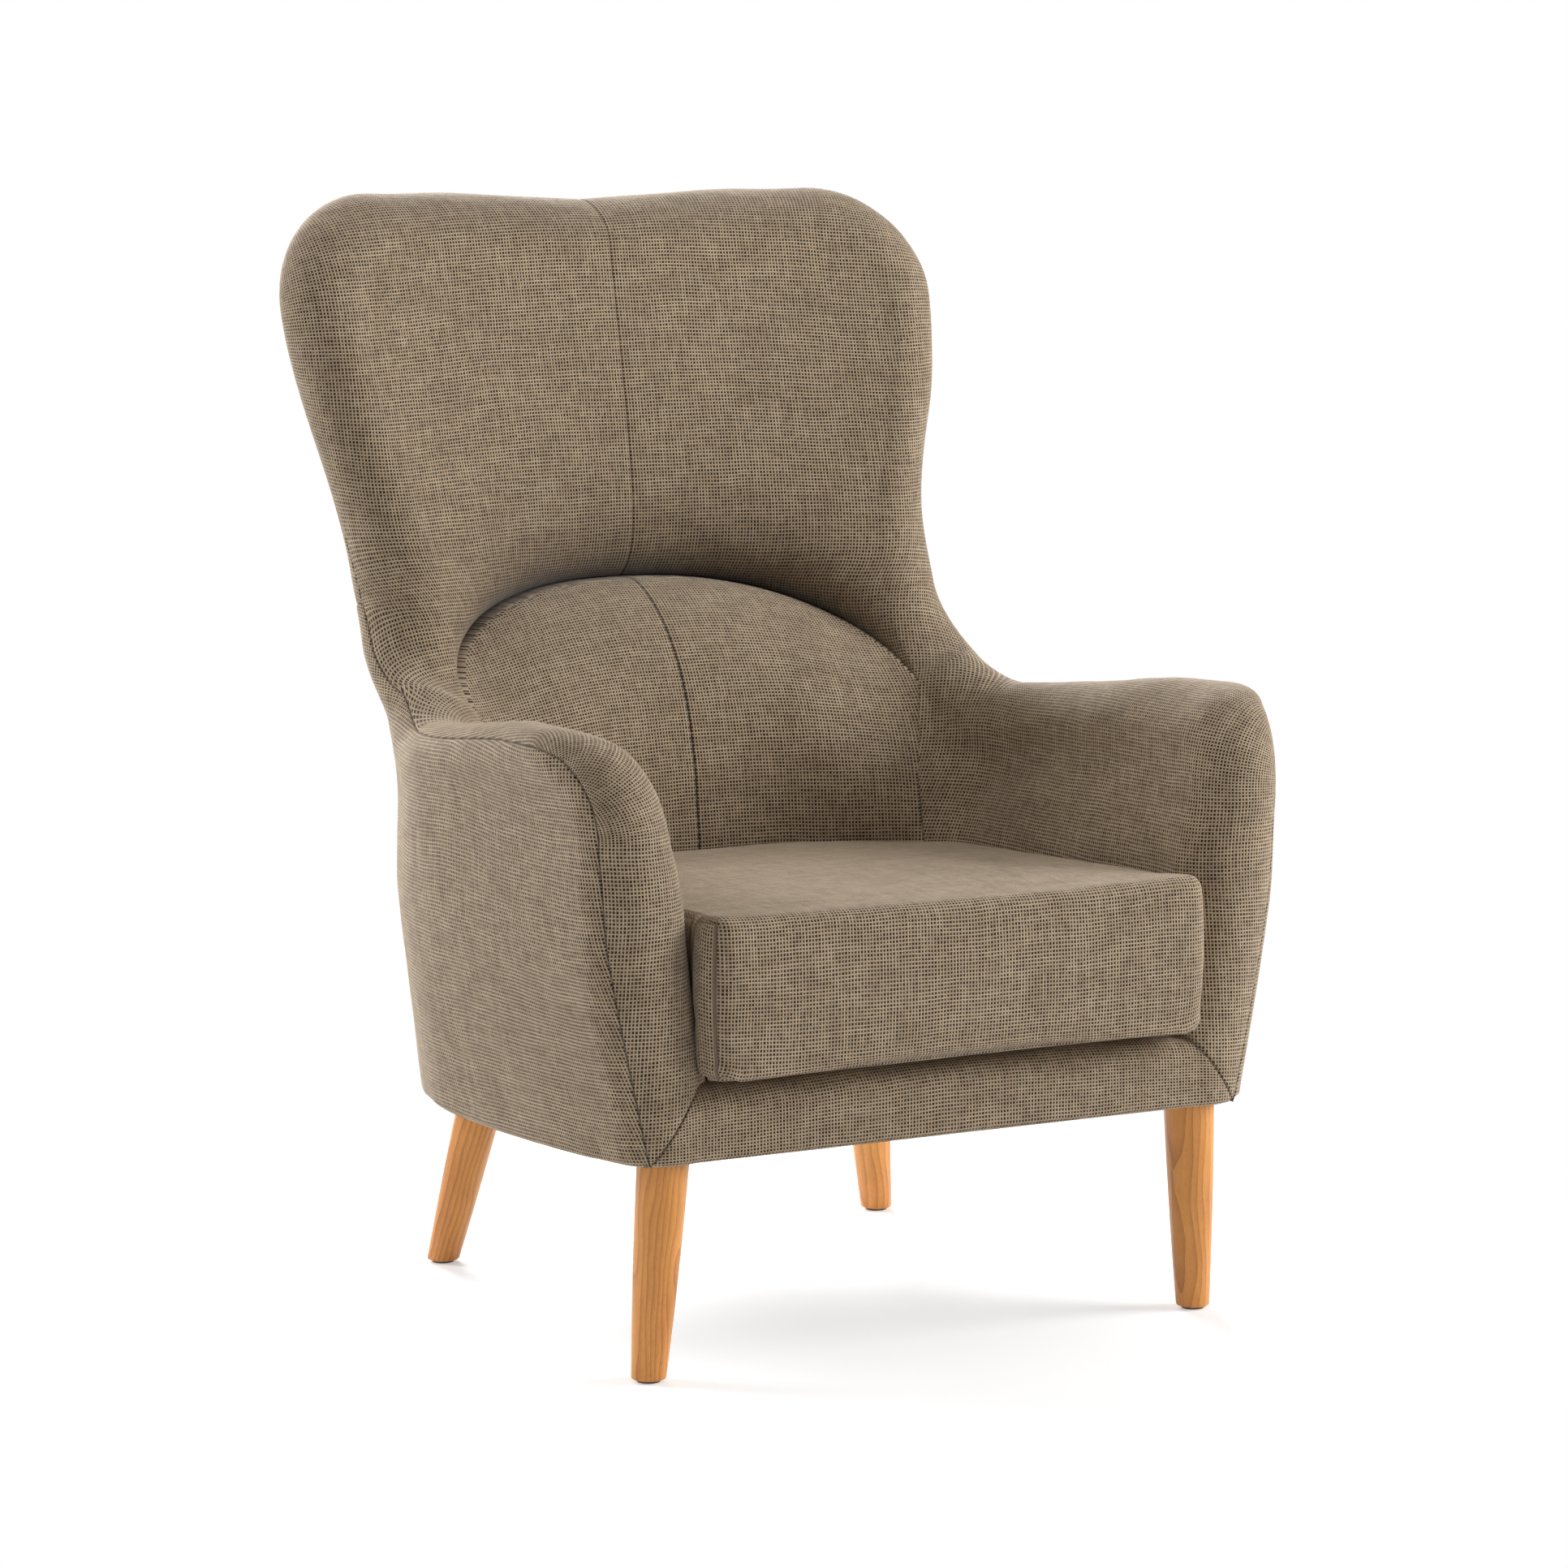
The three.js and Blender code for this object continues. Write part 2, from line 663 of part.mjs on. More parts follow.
// Upper back: from the arched crease and the centre line to the wing, the shoulder and the top.
const archColumns = 7;
const archFoot = (share) => {
  const place = meeting.place * (1 - share);
  return { place, z: archHeight(place) + Math.min(seamGap, meeting.place - place) };
};
const upperBackRings = ringsBetween(
  crestMeeting,
  topCentre,
  (i) => backFoot(i, crestMeeting, archColumns, archFoot),
  -1,
);

// Lumbar roll: from the deck up to the crease, between the centre line and the arm seam.
const lumbarRings = (lift) => steps(archColumns).map((column) => innerFaceShares.map((share) => {
  const topPlace = meeting.place * column;
  const place = mix(seamFootPlace * column, topPlace, share);
  return faceSpot(place, mix(padFootHeight, archHeight(topPlace) + lift, share), -1);
}));

// Outside of the back, from the rear seams to the rolled edge.
const rearFoot = (share) => ({ place: neckPlace * (1 - share), z: undersideHeight });
const outsideBackRings = (gap) => ringsBetween(
  rearMeeting,
  topCentre,
  (i) => backFoot(i, rearMeeting, archColumns - 1, rearFoot),
  1,
  gap,
);

const joined = (half) => half.add(mirrored(half));
const below = (height) => boxBetween(
  -chairHeight,
  chairHeight,
  -chairHeight,
  chairHeight,
  -cutOverrun,
  height,
);
const boardBottom = undersideHeight + undersideClothThickness + clearance;
const boardTop = boardBottom + baseBoardThickness;
const floorCut = below(boardTop + clearance);

// Mitred corner at the foot of the arm: the front panel takes the space under a sloping seam.
function frontRollPoint(z, turn, depth) {
  const place = placeAtY(edgeFrontY, z);
  const { normal } = middleAt(place, z);
  return skinPoint({ place, z, side: 0, turn, outward: vec(normal.y, -normal.x, 0) }, depth);
}
const mitreFootX = frontRollPoint(undersideHeight, seamTurn, 0).x;
const mitreX = (z) => mix(mitreTopX, mitreFootX, (mitreTopHeight - z) / (mitreTopHeight - undersideHeight));

function mitreBlock(gap, frontY, rearY) {
  const top = padFootHeight + gap;
  const bottom = undersideHeight - cutOverrun;
  const shape = new THREE.Shape([
    new THREE.Vector2(-mitreX(bottom) - gap, bottom),
    new THREE.Vector2(mitreX(bottom) + gap, bottom),
    new THREE.Vector2(mitreX(top) + gap, top),
    new THREE.Vector2(-mitreX(top) - gap, top),
  ]);
  const geometry = new THREE.ExtrudeGeometry(shape, { depth: rearY - frontY, bevelEnabled: false });
  return placed(geometry.rotateX(Math.PI / 2), 0, rearY, 0);
}

const facingRearY = edgeFrontY + facingDepth;
const mitreCut = mitreBlock(clearance, frontFaceY - cutOverrun, facingRearY + cutOverrun);

const centreSlit = boxBetween(
  -seamGap / 2,
  seamGap / 2,
  -chairHeight,
  chairHeight,
  0,
  chairHeight + cutOverrun,
);

// Space that the lumbar roll takes under the crease, grown a little, which the upper back keeps clear of.
const lumbarSpace = joined(solidBetween(
  layer(centred(lumbarRings(seamGap / 2), joinOverlap), skinPoint, -coverThickness),
  layer(centred(lumbarRings(seamGap / 2), joinOverlap), corePoint, -coreHalf),
));

function addCovers() {
  const halfCover = (rings) => coverOf(rings).subtract(centreSlit);
  addPair('upper_back_cover', halfCover(upperBackRings).subtract(lumbarSpace), cloth);
  addPair('lumbar_cover', halfCover(lumbarRings(0)), cloth);
  addPair('inside_arm_cover', coverOf(insideArmRings).subtract(mitreCut), cloth);
  addPair('outside_arm_cover', coverOf(outsideArmRings(seamGap)), cloth);
  add('outside_back_cover', joined(coverOf(centred(outsideBackRings(seamGap), joinOverlap))), cloth);
}

function addPadding() {
  const upperBack = joined(foamOf(centred(upperBackRings, joinOverlap)));
  const outsideBack = joined(waddingOf(centred(outsideBackRings(paddingSeamGap), joinOverlap)));
  add('upper_back_foam', upperBack.subtract(lumbarSpace), foam);
  add('lumbar_foam', joined(foamOf(centred(lumbarRings(0), joinOverlap))), foam);
  addPair('arm_foam', foamOf(insideArmRings).subtract(mitreCut).subtract(floorCut), foam);
  const reserved = coverThickness + coverGap;
  const armSpace = skinOf(outsideArmRings(seamGap), reserved);
  const outsideArm = waddingOf(outsideArmRings(paddingSeamGap)).subtract(armSpace);
  addPair('outside_arm_wadding', outsideArm.subtract(floorCut), foam);
  const backSpace = joined(skinOf(centred(outsideBackRings(seamGap), joinOverlap), reserved));
  add('outside_back_wadding', outsideBack.subtract(backSpace).subtract(floorCut), foam);
}

// Front rail: a padded roll between the mitred corners, flat in front and round at the arms' feet.
const frontColumnShares = [-1, -0.97, -0.93, -0.88, -0.8, 0, 0.8, 0.88, 0.93, 0.97, 1];
const frontRollTurns = 3;
const rollFaceRows = 3;
const turnHalvings = 16;
const frontRollTop = padFootHeight - clearance;

// Turn round the arm's rolled front at which its skin has a given X.
function turnAtX(x, z) {
  let [low, high] = [0, Math.PI];
  for (let i = 0; i < turnHalvings; i += 1) {
    const middle = (low + high) / 2;
    if (frontRollPoint(z, middle, 0).x < x) low = middle;
    else high = middle;
  }
  return low;
}

function frontPoint(share, z, gap, depth) {
  const x = share * (mitreX(z) - gap);
  const turn = turnAtX(Math.abs(x), z);
  if (turn < Math.PI / 2) {
    return vec(x, Math.min(frontRollFaceY, frontRollPoint(z, turn, 0).y) + depth, z);
  }
  const point = frontRollPoint(z, turn, depth);
  return vec(Math.sign(x) * Math.min(point.x, Math.abs(x)), point.y, z);
}

// Section of the roll below its skin by an inset: up the face, round the top, back over the rail.
function rollSection(inset, lowest) {
  const reach = frontRollRadius - inset;
  const centreZ = frontRollTop - frontRollRadius;
  const face = steps(rollFaceRows).slice(0, -1).map((share) => ({
    depth: inset,
    z: mix(lowest, centreZ, share),
  }));
  const turns = steps(frontRollTurns).map((share) => ({
    depth: frontRollRadius - reach * Math.cos(share * Math.PI / 2),
    z: centreZ + reach * Math.sin(share * Math.PI / 2),
  }));
  const rear = { depth: frontRollRearY - frontRollFaceY, z: frontRollTop - inset };
  return [...face, ...turns, rear];
}

// Inner side of the roll's foam: behind the face it lies on the rail, over it on the springs' ends.
function rollCore(lowest) {
  const depth = frontRailFrontY - clearance - frontRollFaceY;
  const overSprings = railTopHeight + springWire + fixingClearance + clearance;
  const centreZ = frontRollTop - frontRollRadius;
  const face = steps(rollFaceRows).slice(0, -1).map((share) => ({ depth, z: mix(lowest, centreZ, share) }));
  const turns = steps(frontRollTurns).map((share) => ({ depth, z: mix(centreZ, overSprings, share) }));
  return [...face, ...turns, { depth: frontRollRearY - frontRollFaceY, z: overSprings }];
}

const rollGrid = (section, gap) => section.map(({ depth, z }) => (
  frontColumnShares.map((share) => frontPoint(share, z, gap, depth))
));

function addFrontRoll() {
  const coverGrid = (inset) => rollGrid(rollSection(inset, undersideHeight), clearance);
  add('front_rail_cover', solidBetween(coverGrid(0), coverGrid(coverThickness)), cloth);
  const outer = rollGrid(rollSection(coverThickness + coverGap, undersideHeight), seamGap);
  const inner = rollGrid(rollCore(undersideHeight), seamGap);
  add('front_rail_foam', solidBetween(outer, inner).subtract(floorCut), foam);
}

// Each leg stands on the floor at its foot and leans to its top, where the fixings are.
const legPlaces = [
  { name: 'front', x: frontFootX, y: 0, leanX: frontLegLeanX, leanY: frontLegLeanY },
  { name: 'rear', x: rearFootX, y: footSpacing, leanX: rearLegLeanX, leanY: rearLegLeanY },
].map((leg) => ({ ...leg, topX: leg.x + leg.leanX, topY: leg.y + leg.leanY }));
const legTopHeight = undersideHeight - clearance;
const legFootHeight = glideHeight + clearance;

function rod(radius, low, high, sides, x, y) {
  return turned([[0, low], [radius, low], [radius, high], [0, high]], sides, x, y);
}

function atEachLeg(solid, radius, low, high) {
  return legPlaces.reduce((rest, leg) => {
    const bore = rod(radius, low, high, fixingSides, leg.topX, leg.topY);
    return rest.subtract(bore).subtract(mirrored(bore));
  }, solid);
}

// Underside: a ply ring whose outline is the wall's, and a dust cloth over all of it.
function undersideOutline(offset) {
  const z = undersideHeight;
  const places = steps(outlinePlaces).map((share) => share * placeAtY(edgeFrontY, z));
  const half = places.map((place) => {
    const { point, normal } = middleAt(place, z);
    return point.addScaledVector(normal, offset);
  });
  const inset = rollRadius - offset;
  for (const share of frontColumnShares.filter((value) => value > 0).reverse()) {
    half.push(frontPoint(share, z, inset, inset));
  }
  return [...half, ...half.slice(1).reverse().map(({ x, y }) => vec(-x, y, z))];
}

function wellOutline(inset, frontY) {
  const z = undersideHeight;
  const half = steps(outlinePlaces).map((share) => {
    const { point, normal } = middleAt(share * placeAtY(frontY, z), z);
    return point.addScaledVector(normal, -inset);
  });
  return [...half, ...half.slice(1).reverse().map(({ x, y }) => vec(-x, y, z))];
}

function addUnderside() {
  const boardOutline = undersideOutline(rollRadius - baseBoardOuterInset);
  const well = plate(
    wellOutline(baseBoardInnerInset, frontRollFaceY + baseBoardFrontDepth),
    boardBottom - cutOverrun,
    boardTop + cutOverrun,
  );
  const board = plate(boardOutline, boardBottom, boardTop).subtract(well);
  const boreRadius = nutBarrelRadius + fixingClearance;
  add('base_board', atEachLeg(board, boreRadius, boardBottom - cutOverrun, boardTop + cutOverrun), beech);
  const dust = plate(boardOutline, undersideHeight, undersideHeight + undersideClothThickness);
  add('underside_cloth', atEachLeg(dust, boreRadius, 0, boardTop), lining);
}

// Board that follows the wall between two heights, from an inner to an outer offset.
function wallBoard({ from, to, levels, inner, outer, columns }) {
  const face = (offset) => levels.map((z) => steps(columns).map((column) => {
    const { point, normal } = middleAt(mix(from(z), to(z), column), z);
    return point.addScaledVector(normal, offset);
  }));
  return solidBetween(face(inner), face(outer));
}

// Seat frame: rails on the base board that carry the springs.
const railBottom = boardTop + clearance;
const railOuterOffset = plyOffset - coreHalf - railSetback;
const railShape = { levels: [railBottom, railTopHeight], inner: railInnerOffset, outer: railOuterOffset };

function addSeatFrame() {
  const rearY = frontRailFrontY + frontRailThickness;
  const frontRail = boxBetween(
    -frontRailHalfLength,
    frontRailHalfLength,
    frontRailFrontY,
    rearY,
    railBottom,
    railTopHeight,
  );
  add('front_rail', frontRail, beech);
  const rear = { ...railShape, from: () => -railCornerPlace, to: () => railCornerPlace };
  add('rear_rail', wallBoard({ ...rear, columns: railColumns }), beech);
  const side = { ...railShape, from: () => sideRailPlace, to: (z) => placeAtY(sideRailFrontY, z) };
  addPair('side_rail', wallBoard({ ...side, columns: railColumns }), beech);
}

// Back frame: ply arm panels, uprights at the rear seams and three rails between them.
const railFaceOffset = plyOffset - coreHalf + webbingThickness + webbingGap;
const frameOuterOffset = plyOffset + coreHalf - railSetback;
const wingHalfWidth = (z) => mix(
  waistHalfWidth,
  shoulderHalfWidth,
  smooth((z - waistHeight) / (shoulderHeight - waistHeight)),
);
const uprightOuter = (z) => (z < neckHeight
  ? neckPlace
  : placeAtX(wingHalfWidth(z) - rollRadius, z)) - seamGap;
const uprightInner = (z) => uprightOuter(z) - 2 * uprightHalfWidth;
const uprightTop = topRailHeight - railHalfHeight - clearance;
const railLevels = (height) => [height - railHalfHeight, height + railHalfHeight];
const webbingLevels = (height) => [height - webbingHalfHeight, height + webbingHalfHeight];
const uprightLevels = [
  railBottom,
  ...railLevels(lumbarRailHeight),
  ...webbingLevels(webbingHeights[0]),
  ...railLevels(neckRailHeight),
  ...webbingLevels(webbingHeights[1]),
  ...webbingLevels(webbingHeights[2]),
  uprightTop,
].sort((low, high) => low - high);

function armPanel() {
  const foot = (index) => armFoot(index, undersideHeight, neckPlace, rearMeeting);
  const rings = shift(ringsBetween(0, rearMeeting, foot, 1, 0), paddingSeamGap)
    .map((spots) => spots.slice(0, outerFaceShares.length));
  const turnedTo = (side) => rings.map((spots) => spots.map((spot) => ({ ...spot, side })));
  const face = (side) => layer(turnedTo(side), corePoint, -panelSetback);
  return solidBetween(face(1), face(-1)).subtract(floorCut);
}

function addBackFrame() {
  addPair('arm_panel', armPanel(), beech);
  const upright = {
    from: uprightInner,
    to: uprightOuter,
    levels: uprightLevels,
    inner: railFaceOffset,
    outer: frameOuterOffset,
    columns: uprightColumns,
  };
  addPair('back_upright', wallBoard(upright), beech);
  const crossRail = (height, reach) => wallBoard({
    from: (z) => -reach(z),
    to: reach,
    levels: railLevels(height),
    inner: railFaceOffset,
    outer: frameOuterOffset,
    columns: railColumns,
  });
  add('lumbar_rail', crossRail(lumbarRailHeight, (z) => uprightInner(z) - railEndGap), beech);
  add('neck_rail', crossRail(neckRailHeight, (z) => uprightInner(z) - railEndGap), beech);
  add('top_rail', crossRail(topRailHeight, () => topRailHalfLength), beech);
}

// Webbing: strips that bear on the uprights' faces at both ends.
function addBackWebbing() {
  const seat = 2 * uprightHalfWidth / uprightColumns;
  webbingHeights.forEach((height, index) => {
    const grid = (offset) => webbingLevels(height).map((z) => {
      const across = steps(webbingColumns).map((share) => mix(-uprightInner(z), uprightInner(z), share));
      const ends = uprightInner(z) + seat;
      return [-ends, ...across, ends].map((place) => {
        const { point, normal } = middleAt(place, z);
        return point.addScaledVector(normal, offset);
      });
    });
    const outer = railFaceOffset - webbingGap;
    add(`back_webbing_${index + 1}`, solidBetween(grid(outer - webbingThickness), grid(outer)), elastic);
  });
}

// Seat deck: zigzag springs from rail to rail, a pad on them and a cloth on the pad.
const deckTopAt = (y) => deckFrontHeight - seatTilt * y;
const deckLayers = deckClothThickness + deckPadThickness + 2 * clearance;

function spring(x) {
  const wire = springWire / 2;
  const startY = frontRailFrontY + springEndInset;
  const railMiddle = middleAt(placeAtX(Math.abs(x), railTopHeight), railTopHeight);
  const endY = railMiddle.point.y + railInnerOffset + springEndInset;
  const restZ = railTopHeight + clearance + wire;
  const count = springLoops * springStepsPerLoop;
  const points = steps(count).map((share) => {
    const y = mix(startY, endY, share);
    const under = deckTopAt(y) - deckLayers - springSlack - wire;
    const ramp = smooth(Math.min(y - frontRollRearY, endY - y) / springRampLength);
    const swing = Math.sin(share * springLoops * 2 * Math.PI) * springLoopHalfWidth;
    return vec(x + swing, y, Math.max(restZ, mix(restZ, under, ramp)));
  });
  const section = new THREE.Shape(steps(springSides).slice(1).map((share) => new THREE.Vector2(
    wire * Math.cos(share * 2 * Math.PI),
    wire * Math.sin(share * 2 * Math.PI),
  )));
  const path = new THREE.CatmullRomCurve3(points);
  const options = { steps: count, extrudePath: path, bevelEnabled: false };
  return solidOf(new THREE.ExtrudeGeometry(section, options));
}

// Slab that lies on the deck's slope, from a depth to another depth under its top.
function deckSlab(from, to) {
  const frontY = frontRollRearY + clearance;
  const z = deckFrontHeight;
  const half = steps(outlinePlaces).map((share) => {
    const { point, normal } = middleAt(share * placeAtY(frontY, z), z);
    const padding = paddingAt(share * placeAtY(frontY, z), z);
    return point.addScaledVector(normal, -padding - deckEdgeGap);
  });
  const frontX = half[half.length - 1].x / (half.length - 1);
  const sideRows = (side, depth) => half.map(({ x, y }, index) => [
    vec(side * index * frontX, frontY, deckTopAt(frontY) - depth),
    vec(side * x, y, deckTopAt(y) - depth),
  ]);
  const at = (depth) => [...sideRows(-1, depth).slice(1).reverse(), ...sideRows(1, depth)];
  return solidBetween(at(from), at(to));
}

function addDeck() {
  for (let i = -springSidePlaces; i <= springSidePlaces; i += 1) {
    add(`seat_spring_${i + springSidePlaces + 1}`, spring(i * springPitchX), steel);
  }
  const padTop = deckClothThickness + clearance;
  add('seat_deck_pad', deckSlab(padTop, padTop + deckPadThickness), foam);
  add('seat_deck_cover', deckSlab(0, deckClothThickness), lining);
}

// Loose cushion: its sides follow the well between the arms, its front stands out before them.
const cushionBottom = (y) => deckTopAt(y) + clearance;

function cushionOutline(level, inset) {
  const z = cushionBottom(cushionFrontY) + level;
  const places = steps(cushionSidePlaces).map((share) => share * placeAtY(edgeFrontY, z));
  const half = places.map((place) => {
    const { point, normal } = middleAt(place, z);
    return point.addScaledVector(normal, -paddingAt(place, z) - cushionSquabGap - inset);
  });
  const outward = vec(0, -1, 0);
  for (const turn of cushionTurns) {
    const angle = THREE.MathUtils.degToRad(turn);
    const spot = { place: placeAtY(edgeFrontY, z), z, side: 0, turn: angle, outward };
    const point = skinPoint(spot, -cushionSquabGap - inset);
    half.push(vec(Math.min(point.x, cushionFrontHalfWidth - inset), point.y, z));
  }
  const cornerX = cushionFrontHalfWidth - cushionCornerRadius;
  const cornerY = cushionFrontY + cushionCornerRadius;
  const reach = cushionCornerRadius - inset;
  for (const share of steps(cushionCornerSteps)) {
    const angle = share * Math.PI / 2;
    half.push(vec(cornerX + reach * Math.cos(angle), cornerY - reach * Math.sin(angle), z));
  }
  const otherHalf = half.slice(1).reverse().map(({ x, y }) => vec(-x, y, z));
  return [...half, vec(0, cushionFrontY + inset, z), ...otherHalf];
}

// Closed cushion shape below the skin by an inset: rings from the bottom's middle to the top's.
function cushionSolid(inset) {
  const thickness = cushionThickness;
  const ease = cushionEdgeRadius;
  const rounded = (turn) => ({ inset: ease * (1 - Math.sin(turn)), level: ease * (1 - Math.cos(turn)) });
  const corner = steps(cushionEaseSteps).map((share) => rounded(share * Math.PI / 2));
  const side = [
    ...corner,
    { inset: -cushionSideSwell, level: thickness / 2 },
    ...corner.map((step) => ({ inset: step.inset, level: thickness - step.level })).reverse(),
  ].map((step) => ({ inset: step.inset, level: mix(inset, thickness - inset, step.level / thickness) }));
  const middleY = cushionMiddleY;
  const crown = (share) => cushionCrown * Math.sin(share * Math.PI / 2);
  const ringAt = (step, drawn, rise) => {
    const level = Math.min(thickness, Math.max(0, step.level));
    return cushionOutline(level, Math.max(0, step.inset) + inset).map(({ x, y }) => {
      const px = x * (1 - drawn);
      const py = mix(y, middleY, drawn);
      return vec(px, py, cushionBottom(py) + step.level + rise);
    });
  };
  const [lowest, highest] = [side[0], side[side.length - 1]];
  const rings = [
    ...cushionCapShares.map((share) => ringAt(lowest, 1 - share, 0)),
    ...side.map((step) => ringAt(step, 0, 0)),
    ...cushionCapShares.map((share) => ringAt(highest, 1 - share, crown(1 - share))).reverse(),
  ];
  const middle = (level) => vec(0, middleY, cushionBottom(middleY) + level);
  return loft(rings, middle(lowest.level), middle(highest.level + crown(1)));
}

// Closed solid through rings of equal counts, closed by a point at each end.
function loft(rings, first, last) {
  const count = rings[0].length;
  const positions = [...rings.flat(), first, last].flatMap((point) => point.toArray());
  const faces = [];
  const end = rings.length * count;
  for (let j = 0; j < count; j += 1) {
    const next = (j + 1) % count;
    faces.push([end, next, j], [end + 1, end - count + j, end - count + next]);
    for (let i = 0; i + 1 < rings.length; i += 1) {
      const [a, b] = [i * count + j, i * count + next];
      faces.push([a, b, b + count], [a, b + count, a + count]);
    }
  }
  const geometry = new THREE.BufferGeometry();
  geometry.setAttribute('position', new THREE.Float32BufferAttribute(positions, 3));
  geometry.setIndex(faces.flat());
  return solidOf(geometry);
}

function addCushion() {
  const outer = cushionSolid(0);
  const inner = cushionSolid(cushionClothThickness);
  const shell = outer.subtract(inner);
  const middleZ = cushionBottom(rearFaceY) + cushionThickness / 2;
  const slot = (gap) => boxBetween(
    -zipLength / 2 - gap,
    zipLength / 2 + gap,
    cushionMiddleY,
    rearFaceY,
    middleZ - zipHeight / 2 - gap,
    middleZ + zipHeight / 2 + gap,
  );
  add('seat_cushion_cover', shell.subtract(slot(zipGap)), cloth);
  add('cushion_zip', shell.intersect(slot(0)), lining);
  add('seat_cushion_foam', cushionSolid(cushionClothThickness + clearance), foam);
}

// Turned legs, leaned by a shear so that both ends stay level, with their bolts, nuts and glides.
function addLegs() {
  for (const leg of legPlaces) {
    const height = legTopHeight - legFootHeight;
    const { topX, topY } = leg;
    const profile = [
      [0, legFootHeight],
      [legFootRadius - legFootEase, legFootHeight],
      [legFootRadius, legFootHeight + legFootEase],
      [(legFootRadius + legTopRadius) / 2 + legSwell, legFootHeight + height / 2],
      [legTopRadius, legTopHeight],
      [0, legTopHeight],
    ];
    const lean = new THREE.Matrix4().makeShear(0, 0, 0, 0, leg.leanX / height, leg.leanY / height);
    const lathe = new THREE.LatheGeometry(profile.map(([r, z]) => new THREE.Vector2(r, z)), legSides);
    lathe.rotateX(Math.PI / 2).translate(0, 0, -legFootHeight).applyMatrix4(lean);
    const boreRadius = boltRadius + fixingClearance;
    const boreEnd = legTopHeight - boltBelow - clearance;
    const bore = rod(boreRadius, boreEnd, legTopHeight + cutOverrun, fixingSides, topX, topY);
    addPair(`${leg.name}_leg`, placed(lathe, leg.x, leg.y, legFootHeight).subtract(bore), oak);
    const bolt = rod(boltRadius, legTopHeight - boltBelow, boardTop, fixingSides, topX, topY);
    addPair(`${leg.name}_leg_bolt`, bolt, steel);
    const flangeBottom = boardTop + clearance;
    const flangeTop = flangeBottom + nutFlangeThickness;
    const flange = rod(nutFlangeRadius, flangeBottom, flangeTop, fixingSides, topX, topY);
    const barrel = rod(nutBarrelRadius, boardTop - nutBarrelLength, flangeTop, fixingSides, topX, topY);
    const [threadEnd, threadStart] = [boardBottom - cutOverrun, boardTop + cutOverrun];
    const thread = rod(boreRadius, threadEnd, threadStart, fixingSides, topX, topY);
    addPair(`${leg.name}_leg_nut`, flange.add(barrel).subtract(thread), steel);
    addPair(`${leg.name}_glide`, rod(glideRadius, 0, glideHeight, legSides, leg.x, leg.y), nylon);
  }
}

addCovers();
addPadding();
addFrontRoll();
addUnderside();
addSeatFrame();
addBackFrame();
addBackWebbing();
addDeck();
addCushion();
addLegs();

// The origin stands on the floor under the middle of the chair's box.
const bounds = new THREE.Box3().setFromObject(chair);
chair.position.y = -bounds.getCenter(vec(0, 0, 0)).y;

export default chair;
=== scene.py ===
"""A fireside chair: a high padded back that runs into rolled arms, a loose cushion, four turned legs."""
import math

import bmesh
import bpy
import numpy as np
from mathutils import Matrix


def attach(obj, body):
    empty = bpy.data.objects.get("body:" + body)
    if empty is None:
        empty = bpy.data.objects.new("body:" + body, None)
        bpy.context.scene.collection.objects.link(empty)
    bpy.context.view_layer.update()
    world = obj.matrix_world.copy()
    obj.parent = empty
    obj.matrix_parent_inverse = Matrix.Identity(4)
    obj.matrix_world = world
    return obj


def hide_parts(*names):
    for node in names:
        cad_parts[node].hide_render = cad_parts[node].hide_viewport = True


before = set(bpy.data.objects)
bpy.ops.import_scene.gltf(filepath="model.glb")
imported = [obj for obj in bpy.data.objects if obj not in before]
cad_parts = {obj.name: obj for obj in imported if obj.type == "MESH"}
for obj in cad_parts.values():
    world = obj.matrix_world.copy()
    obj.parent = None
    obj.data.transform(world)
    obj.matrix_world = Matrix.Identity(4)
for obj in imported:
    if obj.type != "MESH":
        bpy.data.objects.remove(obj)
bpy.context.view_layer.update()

# Legs
# Four legs turned from solid oak, thickest at the top, swelling a little in the middle, the foot's edge
# eased. Oiled honey oak with straight grain. A bolt in the top of each leg holds it to the base board.
MM = 0.001
REAR_SHIFT = -345.69
LEG_LOW, LEG_HIGH = 2.55, 208.65
LEG_FOOT_RADIUS, LEG_TOP_RADIUS, LEG_SWELL, FOOT_EASE = 16.5, 24.5, 1.0, 2.5
BORE_RADIUS, BORE_DEPTH = 4.4, 38.35
LEGS = {"front": (300.0, 0.0, -12.0, -7.5), "rear": (254.0, 537.0, -38.0, -36.0)}


def new_group(name, inputs, outputs):
    """Empty shader group with its named sockets, and its two end nodes."""
    group = bpy.data.node_groups.new(name, "ShaderNodeTree")
    kinds = {"v": "NodeSocketVector", "f": "NodeSocketFloat", "c": "NodeSocketColor"}
    for label, kind, value in inputs:
        socket = group.interface.new_socket(label, in_out="INPUT", socket_type=kinds[kind])
        if value is not None:
            socket.default_value = value
    for label, kind in outputs:
        group.interface.new_socket(label, in_out="OUTPUT", socket_type=kinds[kind])
    return group, group.nodes.new("NodeGroupInput"), group.nodes.new("NodeGroupOutput")


def link(tree, source, target):
    tree.links.new(source, target)


def plug(tree, socket, value):
    """Puts a number, a colour or another node's output on a socket."""
    if isinstance(value, bpy.types.NodeSocket):
        tree.links.new(value, socket)
    elif value is not None:
        socket.default_value = value


def sums(tree, operation, a, b=None, c=None, clamp=False):
    node = tree.nodes.new("ShaderNodeMath")
    node.operation = operation
    node.use_clamp = clamp
    for socket, value in zip(node.inputs, (a, b, c)):
        plug(tree, socket, value)
    return node.outputs[0]


def scaled(tree, vector, scale, offset=(0.0, 0.0, 0.0)):
    node = tree.nodes.new("ShaderNodeMapping")
    plug(tree, node.inputs["Vector"], vector)
    node.inputs["Scale"].default_value = scale
    node.inputs["Location"].default_value = offset
    return node.outputs[0]


